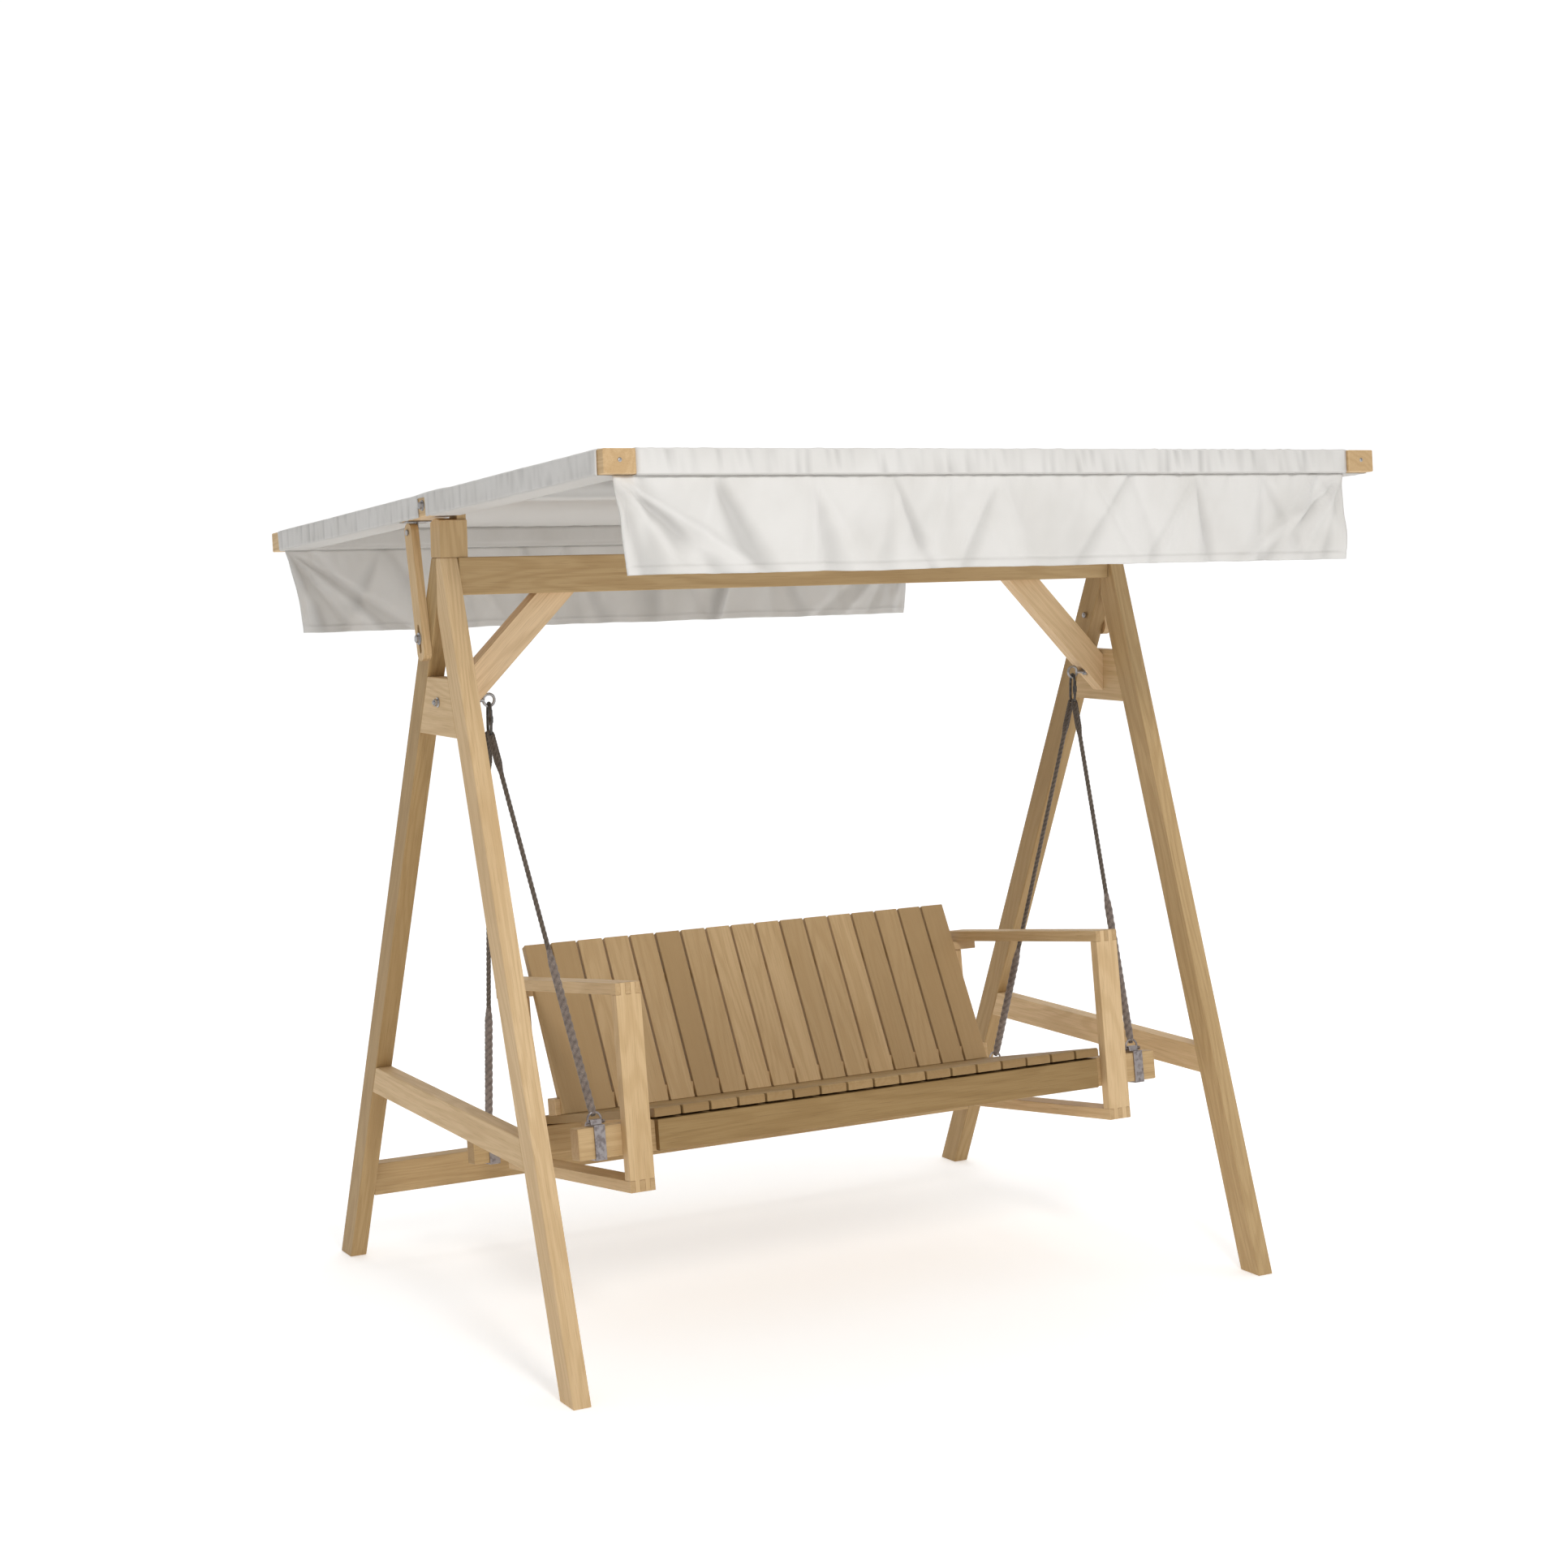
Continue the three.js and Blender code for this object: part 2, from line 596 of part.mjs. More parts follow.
// The end of a board, drawn across its width from -ARM_WIDE / 2, with fingers of full length at the
// places where tooth(i) is true. inset is how far the other fingers stop short.
function fingers(end, inset, tooth) {
  const points = [];
  for (let i = 0; i < ARM_FINGERS; i++) {
    const edge = tooth(i) ? end : end - inset;
    const trimStart = i > 0 ? (tooth(i) ? GAP / 2 : -GAP / 2) : 0;
    const trimEnd = i < ARM_FINGERS - 1 ? (tooth(i) ? -GAP / 2 : GAP / 2) : 0;
    points.push([-ARM_WIDE / 2 + i * finger + trimStart, edge]);
    points.push([-ARM_WIDE / 2 + (i + 1) * finger + trimEnd, edge]);
  }
  return points;
}

const even = (i) => i % 2 === 0;
const odd = (i) => i % 2 === 1;
const joint = ARM_THICK + GAP;

// The upright board, drawn in x and n, with fingers at both ends.
function armFront() {
  const top = fingers(ARM_HIGH, joint, odd);
  const bottom = fingers(0, -joint, odd).reverse();
  return outline([...top.reverse(), ...bottom.reverse()]);
}

// The top or bottom board, drawn in x and s, with fingers at the front end.
function armBoard() {
  const front = fingers(0, -joint, even);
  return outline([...front, [ARM_WIDE / 2, ARM_LONG], [-ARM_WIDE / 2, ARM_LONG]]);
}

// Columns that send a shape's axes to x and n, extruded along -s.
const UPRIGHT = [new THREE.Vector3(1, 0, 0), new THREE.Vector3(0, 0, 1), new THREE.Vector3(0, -1, 0)];

for (const [hand, side] of SIDES) {
  const middle = side * (ARM_IN + ARM_WIDE / 2);
  const boards = [
    ["arm_front_board_" + hand, extruded(armFront(), UPRIGHT, -ARM_THICK, 0)],
    ["arm_top_board_" + hand, extruded(armBoard(), ALONG_Z, ARM_UNDER, ARM_HIGH)],
    ["arm_bottom_board_" + hand, extruded(armBoard(), ALONG_Z, 0, ARM_THICK)],
  ];
  for (const [name, geometry] of boards) {
    piece(name, geometry, WOOD, seat).position.x = middle;
  }

  const postIn = side * ARM_POST_IN;
  const postOut = postIn + side * ARM_POST_WIDE;
  const [postFront, , postFoot] = REAR_HANGER;
  const postHead = UPPER_RAIL[2] - GAP;
  const post = box(postIn, postOut, postFront, postFront + HANGER, postFoot + GAP, postHead);
  piece("rear_arm_post_" + hand, post, WOOD, seat);
}

// ---- Ropes and their fittings ------------------------------------------------------------------

const LINK_R = 10;
const LINK_WIRE = 3.5;
const LINK_REACH = 28; // half the straight part of the hook
const hookTop = EYE_Z - EYE_RING + EYE_WIRE + LINK_WIRE + GAP;
const hookMid = hookTop - LINK_R - LINK_REACH;
const ropeStart = hookMid - LINK_R - LINK_REACH - LINK_WIRE - GAP;

// The hook: a long link of wire that hangs over the lower side of the eye.
function hook() {
  const g = new THREE.TorusGeometry(LINK_R, LINK_WIRE, 8, 20);
  g.rotateZ(Math.PI / 20);
  const p = g.attributes.position;
  for (let i = 0; i < p.count; i++) p.setY(i, p.getY(i) + Math.sign(p.getY(i)) * LINK_REACH);
  g.rotateX(Math.PI / 2);
  g.rotateZ(Math.PI / 2);
  return g;
}

// The strap round the end of a hanger beam, with an ear on top for the rope.
const STRAP = 4;
const STRAP_WIDE = 28;
const EAR_RISE = 16;
const EAR_FOOT = 11; // half its depth at the strap, and at its top
const EAR_HEAD = 7;
function strap([s, low, high]) {
  const mid = s + HANGER / 2;
  const shape = outline([
    [s - GAP - STRAP, low - GAP - STRAP],
    [s + HANGER + GAP + STRAP, low - GAP - STRAP],
    [s + HANGER + GAP + STRAP, high + GAP + STRAP],
    [mid + EAR_FOOT, high + GAP + STRAP],
    [mid + EAR_HEAD, high + EAR_RISE],
    [mid - EAR_HEAD, high + EAR_RISE],
    [mid - EAR_FOOT, high + GAP + STRAP],
    [s - GAP - STRAP, high + GAP + STRAP],
  ]);
  shape.holes.push(
    new THREE.Path([
      new THREE.Vector2(s - GAP, low - GAP),
      new THREE.Vector2(s - GAP, high + GAP),
      new THREE.Vector2(s + HANGER + GAP, high + GAP),
      new THREE.Vector2(s + HANGER + GAP, low - GAP),
    ]),
  );
  return extruded(shape, ALONG_X, -STRAP_WIDE / 2, STRAP_WIDE / 2);
}

// A rope with a short splice at the top and a long one at the bottom, between two points.
function rope(from, to, lowSplice) {
  const long = from.distanceTo(to);
  const profile = [
    [0, 0],
    [SPLICE_R * 0.8, 0],
    [SPLICE_R, SPLICE_TAPER],
    [SPLICE_R, lowSplice - SPLICE_TAPER],
    [ROPE_R, lowSplice],
    [ROPE_R, long - TOP_SPLICE],
    [TOP_SPLICE_R, long - TOP_SPLICE + SPLICE_TAPER],
    [TOP_SPLICE_R, long - SPLICE_TAPER],
    [ROPE_R, long],
    [0, long],
  ];
  const g = new THREE.LatheGeometry(profile.map(([r, y]) => new THREE.Vector2(r, y)), 12);
  const up = from.clone().sub(to).normalize();
  g.applyQuaternion(new THREE.Quaternion().setFromUnitVectors(new THREE.Vector3(0, 1, 0), up));
  g.translate(to.x, to.y, to.z);
  return g;
}

seat.updateMatrixWorld(true);
const ENDS = [
  ["front", FRONT_HANGER, -1],
  ["rear", REAR_HANGER, 1],
];
for (const [hand, side] of SIDES) {
  const link = piece("rope_hook_" + hand, hook(), DARK_STEEL);
  link.position.set(side * EYE_X, EYE_Y, hookMid);

  for (const [end, beam, way] of ENDS) {
    const fitting = piece("rope_strap_" + end + "_" + hand, strap(beam), STEEL, seat);
    fitting.position.x = side * ROPE_X;

    const foot = new THREE.Vector3(side * ROPE_X, beam[0] + HANGER / 2, beam[2] + EAR_RISE);
    foot.applyMatrix4(seat.matrixWorld);
    const head = new THREE.Vector3(side * EYE_X, EYE_Y + way * 9, ropeStart);
    const lift = head.clone().sub(foot).normalize().multiplyScalar(8);
    piece("rope_" + end + "_" + hand, rope(head, foot.add(lift), LOW_SPLICE[end]), ROPE);
  }
}

swing.position.y = -MOVED_FORWARD;

export default swing;
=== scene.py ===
import math
import random

import bmesh
import bpy
from mathutils import Matrix, Vector, noise


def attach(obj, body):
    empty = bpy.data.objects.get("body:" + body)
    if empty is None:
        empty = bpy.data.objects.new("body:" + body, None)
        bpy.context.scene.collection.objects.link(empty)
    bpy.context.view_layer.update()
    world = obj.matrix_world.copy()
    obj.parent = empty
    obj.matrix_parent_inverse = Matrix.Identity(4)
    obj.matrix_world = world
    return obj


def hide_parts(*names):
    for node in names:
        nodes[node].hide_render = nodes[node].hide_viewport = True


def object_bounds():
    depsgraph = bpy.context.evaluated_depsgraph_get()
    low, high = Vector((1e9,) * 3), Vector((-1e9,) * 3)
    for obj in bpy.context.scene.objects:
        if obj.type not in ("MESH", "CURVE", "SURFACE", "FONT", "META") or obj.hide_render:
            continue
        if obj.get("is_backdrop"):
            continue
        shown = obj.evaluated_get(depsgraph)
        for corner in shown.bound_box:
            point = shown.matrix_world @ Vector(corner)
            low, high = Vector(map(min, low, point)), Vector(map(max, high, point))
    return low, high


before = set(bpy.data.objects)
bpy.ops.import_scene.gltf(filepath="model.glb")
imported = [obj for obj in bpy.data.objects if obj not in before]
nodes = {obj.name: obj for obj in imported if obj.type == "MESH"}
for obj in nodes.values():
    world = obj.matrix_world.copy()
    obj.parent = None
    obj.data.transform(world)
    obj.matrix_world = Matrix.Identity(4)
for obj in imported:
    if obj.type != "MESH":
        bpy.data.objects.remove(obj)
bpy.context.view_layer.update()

# The garden swing seat in metres, +Z up, the front towards -Y. Nodes that stay get timber or steel; the
# slats, the canvas, the ropes, the eyes and the hooks are made again in finer shape.

HANDS = (("left", -1), ("right", 1))

# ---- Camera ------------------------------------------------------------------------------------

YAW = math.radians(29.233)
PITCH = math.radians(5.623)
ROLL = math.radians(-0.855)
forward = Vector((math.sin(YAW) * math.cos(PITCH), math.cos(YAW) * math.cos(PITCH), -math.sin(PITCH)))
level = Vector((math.cos(YAW), -math.sin(YAW), 0))
above = level.cross(forward)
right = math.cos(ROLL) * level + math.sin(ROLL) * above
up = -math.sin(ROLL) * level + math.cos(ROLL) * above

camera = bpy.data.objects.new("camera", bpy.data.cameras.new("camera"))
bpy.context.scene.collection.objects.link(camera)
camera.data.sensor_width = 36
camera.data.lens = 59.146
camera.data.clip_end = 100
PLACE = Vector((-3.2983, -5.8586, 1.9477))
camera.matrix_world = Matrix(
    (
        (right.x, up.x, -forward.x, PLACE.x),
        (right.y, up.y, -forward.y, PLACE.y),
        (right.z, up.z, -forward.z, PLACE.z),
        (0, 0, 0, 1),
    )
)
bpy.context.scene.camera = camera
bpy.context.scene.view_settings.view_transform = "Standard"

# ---- The object's own frames and sizes -----------------------------------------------------------

FORWARD = 0.065  # how far the canopy's middle lies in front of the origin
CANOPY = Matrix.Translation((0, -FORWARD, 2.019)) @ Matrix.Rotation(math.radians(-4.28), 4, "X")
SEAT = Matrix.Translation((0, -0.436 - FORWARD, 0.402)) @ Matrix.Rotation(math.radians(-7.4), 4, "X")

RAIL_HALF = 0.026
SIDE_IN = 0.955
SIDE_OUT = 1.030
FRONT_RAIL = (-1.000, -0.948)
CROSS_RAIL = (-0.476, -0.424)
REAR_RAIL = (1.010, 1.062)
SLEEVES = (-0.982, 1.072)
REAR_FOLD = 1.056
SLIT = 0.025
POST_OPENING = (-0.045, 0.165)
CLOTH = 0.0016
CLOTH_OFF = 0.0015  # from the wood to the middle of the cloth

EYE = Vector((0.868, 0.012 - FORWARD, 1.548))
EYE_RING = 0.0145
EYE_WIRE = 0.0036
HOOK_TOP = 1.5408
HOOK_LOW = 1.4648
ROPE_HEAD_Z = 1.461
ROPE_APART = 0.009
ROPE_X = 0.785
ROPE_R = 0.006
HANGER = 0.045
FRONT_HANGER = (0.0283, 0.163)  # its front face and its top, in the seat's frame
REAR_HANGER = (0.688, 0.103)
EAR_RISE = 0.016

# ---- Meshes --------------------------------------------------------------------------------------

WELD_WITHIN = 1e-5
SOFT_OVER = 40  # degrees between faces, from which an edge is rounded
SHARP_OVER = math.radians(50)


def made(name, verts, faces, smooth=True):
    mesh = bpy.data.meshes.new(name)
    mesh.from_pydata([tuple(v) for v in verts], [], faces)
    mesh.validate()
    if smooth:
        mesh.shade_smooth()
    obj = bpy.data.objects.new(name, mesh)
    bpy.context.scene.collection.objects.link(obj)
    return obj


def grid(rows):
    """Vertices and quads of a grid given as rows of points."""
    wide = len(rows[0])
    verts = [p for row in rows for p in row]
    faces = [
        (r * wide + c, r * wide + c + 1, (r + 1) * wide + c + 1, (r + 1) * wide + c)
        for r in range(len(rows) - 1)
        for c in range(wide - 1)
    ]
    return verts, faces


def tube(points, radius, sides, closed=False, across=None):
    """A tube along points. radius is a number or a function of the distance along it and the angle."""
    count = len(points)
    ring_radius = radius if callable(radius) else lambda along, angle: radius
    normal = Vector(across) if across else None
    verts, faces = [], []
    along = 0
    for i, p in enumerate(points):
        before = points[i - 1] if closed or i > 0 else p
        after = points[(i + 1) % count] if closed or i < count - 1 else p
        tangent = (after - before).normalized()
        if normal is None:
            normal = tangent.orthogonal()
        normal = (normal - tangent * normal.dot(tangent)).normalized()
        side = tangent.cross(normal)
        if i > 0:
            along += (p - points[i - 1]).length
        for k in range(sides):
            angle = 2 * math.pi * k / sides
            r = ring_radius(along, angle)
            verts.append(p + normal * (r * math.cos(angle)) + side * (r * math.sin(angle)))
    loops = count if closed else count - 1
    for i in range(loops):
        for k in range(sides):
            a, b = i * sides, ((i + 1) % count) * sides
            faces.append((a + k, a + (k + 1) % sides, b + (k + 1) % sides, b + k))
    if not closed:
        faces.append(tuple(reversed(range(sides))))
        faces.append(tuple((count - 1) * sides + k for k in range(sides)))
    return verts, faces


def both(*parts):
    """Several (vertices, faces) as one."""
    verts, faces = [], []
    for more, quads in parts:
        start = len(verts)
        verts += list(more)
        faces += [tuple(start + i for i in f) for f in quads]
    return verts, faces


def prism(outline, x0, x1):
    """A board: an outline in (y, z), from x0 to x1."""
    n = len(outline)
    verts = [Vector((x, y, z)) for x in (x0, x1) for y, z in outline]
    faces = [tuple(reversed(range(n))), tuple(range(n, 2 * n))]
    faces += [(i, (i + 1) % n, n + (i + 1) % n, n + i) for i in range(n)]
    return verts, faces


def soften(obj, width, segments=2, weld=False):
    """Rounds the edges. weld joins a faceted mesh first, so that its edges are found."""
    if weld:
        merge = obj.modifiers.new("weld", "WELD")
        merge.merge_threshold = WELD_WITHIN
    edge = obj.modifiers.new("edges", "BEVEL")
    edge.width = width
    edge.segments = segments
    edge.limit_method = "ANGLE"
    edge.angle_limit = math.radians(SOFT_OVER)
    edge.use_clamp_overlap = True


def wave(x, y=0.0, z=0.0):
    return noise.noise(Vector((x, y, z)))


def spread(low, high, step):
    count = max(1, round((high - low) / step))
    return [low + (high - low) * i / count for i in range(count + 1)]


# ---- Materials -----------------------------------------------------------------------------------


class Shader:
    """A node material in the making."""

    def __init__(self, name, slot, rough, metal=0.0):
        self.mat = bpy.data.materials.new(name)
        self.mat.use_nodes = True
        self.tree = self.mat.node_tree
        self.bsdf = self.tree.nodes["Principled BSDF"]
        self.bsdf.inputs["Roughness"].default_value = rough
        self.bsdf.inputs["Metallic"].default_value = metal
        self.slot = slot

    def node(self, kind, **values):
        n = self.tree.nodes.new(kind)
        for key, value in values.items():
            setattr(n, key, value)
        return n

    def link(self, a, b):
        self.tree.links.new(a, b)

    def place(self, grain=(0, 0, 1), shift=(0, 0, 0)):
        """Coordinates of the object at rest, turned so that Z runs along grain."""
        coord = self.node("ShaderNodeTexCoord")
        turn = self.node("ShaderNodeMapping", vector_type="TEXTURE")
        turn.inputs["Location"].default_value = shift
        turn.inputs["Rotation"].default_value = Vector(grain).to_track_quat("Z", "X").to_euler()
        self.link(coord.outputs["Object"], turn.inputs["Vector"])
        return turn.outputs["Vector"]

    def stretched(self, vector, scale):
        n = self.node("ShaderNodeMapping")
        n.inputs["Scale"].default_value = scale
        self.link(vector, n.inputs["Vector"])
        return n.outputs["Vector"]

    def noise(self, vector, scale, detail=2.0, rough=0.5):
        n = self.node("ShaderNodeTexNoise")
        n.inputs["Scale"].default_value = scale
        n.inputs["Detail"].default_value = detail
        n.inputs["Roughness"].default_value = rough
        self.link(vector, n.inputs["Vector"])
        return n.outputs["Fac"]

    def maths(self, operation, a, b=None):
        n = self.node("ShaderNodeMath", operation=operation)
        for socket, value in zip(n.inputs, (a, b)):
            if value is None:
                continue
            if isinstance(value, (int, float)):
                socket.default_value = value
            else:
                self.link(value, socket)
        return n.outputs[0]

    def between(self, value, low, high):
        """value from low to high, as 0 to 1."""
        n = self.node("ShaderNodeMapRange", interpolation_type="SMOOTHSTEP")
        n.inputs["From Min"].default_value = low
        n.inputs["From Max"].default_value = high
        self.link(value, n.inputs["Value"])
        return n.outputs["Result"]

    def mix(self, factor, a, b):
        n = self.node("ShaderNodeMix", data_type="RGBA")
        for socket, value in zip((n.inputs["Factor"], n.inputs["A"], n.inputs["B"]), (factor, a, b)):
            if isinstance(value, (int, float)):
                socket.default_value = value
            elif isinstance(value, tuple):
                socket.default_value = (*value, 1)
            else:
                self.link(value, socket)
        return n.outputs["Result"]

    def coloured(self, colour):
        if isinstance(colour, tuple):
            self.bsdf.inputs["Base Color"].default_value = (*colour, 1)
        else:
            self.link(colour, self.bsdf.inputs["Base Color"])

    def rougher(self, value):
        self.link(value, self.bsdf.inputs["Roughness"])

    def bumped(self, height, distance, strength=1.0):
        n = self.node("ShaderNodeBump")
        n.inputs["Distance"].default_value = distance
        n.inputs["Strength"].default_value = strength
        self.link(height, n.inputs["Height"])
        self.link(n.outputs["Normal"], self.bsdf.inputs["Normal"])


def timber(name, grain, seed, per_board=False, tone=1.0):
    """Oiled light timber whose grain runs along grain, in metres."""
    s = Shader(name, "timber", 0.58)
    vector = s.place(grain, (0.31 * seed, 0.17 * seed, 0.73 * seed))
    shade = None
    if per_board:
        board = s.node("ShaderNodeAttribute", attribute_name="board")
        offset = s.node("ShaderNodeVectorMath", operation="SCALE")
        offset.inputs[0].default_value = (3.1, 4.7, 6.3)
        s.link(board.outputs["Fac"], offset.inputs["Scale"])
        moved = s.node("ShaderNodeVectorMath", operation="ADD")
        s.link(vector, moved.inputs[0])
        s.link(offset.outputs["Vector"], moved.inputs[1])
        vector = moved.outputs["Vector"]
        shade = board.outputs["Fac"]
    figure = s.noise(s.stretched(vector, (1, 1, 0.10)), 9.0, 1.5)
    rings = s.maths("SINE", s.maths("MULTIPLY", figure, 95.0))
    rings = s.between(rings, -0.5, 1.0)
    fine = s.noise(s.stretched(vector, (1, 1, 0.025)), 240.0, 3.0, 0.6)
    broad = s.noise(s.stretched(vector, (1, 1, 0.3)), 4.0, 2.0)
    pores = s.between(s.noise(s.stretched(vector, (1, 1, 0.02)), 620.0, 1.0), 0.60, 0.72)
    browner = (tone, tone ** 1.15, tone ** 1.6)  # darker boards are also browner
    light = tuple(a * b for a, b in zip(browner, (0.690, 0.495, 0.278)))
    middle = tuple(a * b for a, b in zip(browner, (0.530, 0.352, 0.170)))
    deep = tuple(a * b for a, b in zip(browner, (0.330, 0.195, 0.080)))
    colour = s.mix(s.maths("MULTIPLY", rings, 0.42), light, middle)
    colour = s.mix(s.maths("MULTIPLY", s.between(fine, 0.42, 0.72), 0.5), colour, middle)
    colour = s.mix(s.maths("MULTIPLY", s.between(broad, 0.45, 0.75), 0.5), colour, middle)
    colour = s.mix(s.maths("MULTIPLY", pores, 0.35), colour, deep)
    if shade is not None:
        colour = s.mix(s.maths("MULTIPLY", shade, 0.85), colour, tuple(0.82 * c for c in middle))
    coord = s.node("ShaderNodeTexCoord")
    facing = s.node("ShaderNodeVectorMath", operation="DOT_PRODUCT")
    facing.inputs[1].default_value = Vector(grain).normalized()
    s.link(coord.outputs["Normal"], facing.inputs[0])
    end_grain = s.between(s.maths("ABSOLUTE", facing.outputs["Value"]), 0.75, 0.95)
    colour = s.mix(s.maths("MULTIPLY", end_grain, 0.38), colour, deep)
    s.coloured(colour)
    s.bumped(s.maths("SUBTRACT", fine, s.maths("MULTIPLY", pores, 0.6)), 0.0006, 0.35)
    s.bsdf.inputs["Specular IOR Level"].default_value = 0.35
    return s


def canvas(name, painted_under_shade=False):
    """Off-white woven canvas that lets a little light through. Its downward faces can take a painted shade
    that makes them greyer underneath.
    """
    s = Shader(name, "canvas", 0.92)
    vector = s.place()
    warp = s.noise(s.stretched(vector, (1, 0.06, 1)), 900.0, 1.0)
    weft = s.noise(s.stretched(vector, (0.06, 1, 1)), 900.0, 1.0)
    cloud = s.noise(vector, 5.0, 3.0)
    weave = s.maths("MULTIPLY", warp, weft)
    pale = (0.775, 0.760, 0.735)
    worn = (0.715, 0.697, 0.665)
    colour = s.mix(s.between(cloud, 0.4, 0.75), pale, worn)
    colour = s.mix(s.maths("MULTIPLY", s.between(weave, 0.2, 0.34), 0.12), colour, worn)
    # Painted shade: where the cloth lies deep in the folds and puckers, its colour is mixed towards a
    # darker grey.
    crease_shade = s.node("ShaderNodeAttribute", attribute_name="crease_shade")
    colour = s.mix(s.maths("MULTIPLY", crease_shade.outputs["Fac"], 0.50), colour, tuple(0.62 * c for c in worn))
    # Painted shade: faces that turn downward are mixed towards a greyer colour.
    if painted_under_shade:
        coord = s.node("ShaderNodeTexCoord")
        split = s.node("ShaderNodeSeparateXYZ")
        s.link(coord.outputs["Normal"], split.inputs["Vector"])
        colour = s.mix(s.between(split.outputs["Z"], -0.15, -0.6), colour, tuple(0.90 * c for c in worn))
    s.coloured(colour)
    s.bumped(weave, 0.0007, 0.25)
    s.bsdf.inputs["Sheen Weight"].default_value = 0.12
    through = s.node("ShaderNodeBsdfTranslucent")
    s.link(colour, through.inputs["Color"])
    mixed = s.node("ShaderNodeMixShader")
    mixed.inputs["Fac"].default_value = 0.16
    s.link(s.bsdf.outputs["BSDF"], mixed.inputs[1])
    s.link(through.outputs["BSDF"], mixed.inputs[2])
    s.link(mixed.outputs["Shader"], s.tree.nodes["Material Output"].inputs["Surface"])
    return s


def metal(name, slot, colour, rough, worn):
    """Steel with a mottled surface. worn is the colour of its dull patches."""
    s = Shader(name, slot, rough, 1.0)
    vector = s.place()
    patches = s.between(s.noise(vector, 90.0, 3.0), 0.4, 0.68)
    fine = s.noise(vector, 900.0, 2.0)
    s.coloured(s.mix(patches, colour, worn))
    s.rougher(s.maths("ADD", s.maths("MULTIPLY", patches, 0.18), rough))
    s.bumped(fine, 0.0003, 0.3)
    return s


def rope_fibre(name, light, dark):
    """Rope yarn: fine fibres round the strands, with painted shade that darkens the grooves between them.
    """
    s = Shader(name, "rope", 0.95)
    vector = s.place()
    fibre = s.noise(s.stretched(vector, (1, 1, 0.35)), 900.0, 3.0, 0.65)
    cloud = s.noise(vector, 40.0, 2.0)
    # Painted shade: the deeper a vertex lies between the strands, the darker its colour.
    lay_shade = s.node("ShaderNodeAttribute", attribute_name="lay_shade")
    colour = s.mix(s.between(fibre, 0.35, 0.7), light, dark)
    colour = s.mix(s.maths("MULTIPLY", s.between(cloud, 0.4, 0.7), 0.4), colour, dark)
    colour = s.mix(s.maths("MULTIPLY", lay_shade.outputs["Fac"], 0.75), colour, tuple(0.35 * c for c in dark))
    s.coloured(colour)
    s.bumped(fibre, 0.0012, 0.5)
    s.bsdf.inputs["Sheen Weight"].default_value = 0.2
    return s


CANVAS = canvas("canvas")
SHADED_UNDER_CANVAS = canvas("canvas_painted_under_shade", painted_under_shade=True)
ZINC = metal("zinc_steel", "zinc_steel", (0.46, 0.45, 0.45), 0.34, (0.30, 0.29, 0.29))
STRAP = metal("strap_steel", "zinc_steel", (0.40, 0.37, 0.37), 0.42, (0.24, 0.21, 0.21))
DARK = metal("dark_steel", "dark_steel", (0.085, 0.08, 0.075), 0.45, (0.16, 0.15, 0.14))
ROPE = rope_fibre("rope", (0.175, 0.140, 0.110), (0.085, 0.066, 0.052))
SPLICE = rope_fibre("rope_splice", (0.330, 0.275, 0.240), (0.160, 0.125, 0.108))


def wear(obj, shader):
    obj.data.materials.clear()
    obj.data.materials.append(shader.mat)


def add(obj, shader, body, *stands_for):
    wear(obj, shader)
    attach(obj, body)
    if stands_for:
        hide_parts(*stands_for)
    return obj


# ---- Ropes, eyes and hooks -----------------------------------------------------------------------

WIRE_SIDES = 14
STRANDS = 3
LAY_DEEP = 0.22  # of the radius, between the strands
ROPE_STEP = 0.0022
ROPE_LAY = 0.042  # length of one turn of the strands
FOOT_LIFT = 0.008
SPLICE_R = 0.0105
SPLICE_LAY = 0.062
TUCK = 0.0205
EYE_LONG = 0.098  # from the joint of the rope's eye to its head
EYE_CROWN = 0.0105
EYE_HALF = 0.0068
EYE_LEG = 0.0034
EYE_BEND = 0.007
EYE_LAY = 0.024
EYE_STEPS = 36
CROWN_AT = 0.93  # share of the way from the joint to the crown where the legs end
SHACKLE_HALF = 0.0175
SHACKLE_PIN = 0.009  # height of the pin over the beam
SHACKLE_LEG = 0.016
SHACKLE_BOW = 0.017
SHANK_END = 0.145
THREAD_FROM = 0.125
THREAD_PITCH = 0.0018
FLANGE = (0.038, 0.0457)
HOOK_HALF = 0.0100
HOOK_NARROWS = 0.0016
GATE_OUT = 0.0102


def shade_lay(obj, values):
    layer = obj.data.attributes.new("lay_shade", "FLOAT", "POINT")
    layer.data.foreach_set("value", values)


def laid(points, radius, pitch, sides):
    """A laid rope along points: the tube and, for each vertex, how deep it lies between the strands."""
    values = []

    def ring(along, angle):
        turn = STRANDS / 2 * (angle - 2 * math.pi * along / pitch)
        crest = abs(math.cos(turn)) ** 0.75
        # Painted shade mask: 1 deep between the strands, 0 on their crests.
        values.append(1 - crest)
        return radius * (1 - LAY_DEEP + LAY_DEEP * crest)

    verts, faces = tube(points, ring, sides)
    return verts, faces, values


def straight(a, b, step):
    """Points from a to b, about step apart."""
    count = max(2, round((b - a).length / step))
    return [a.lerp(b, i / count) for i in range(count + 1)]


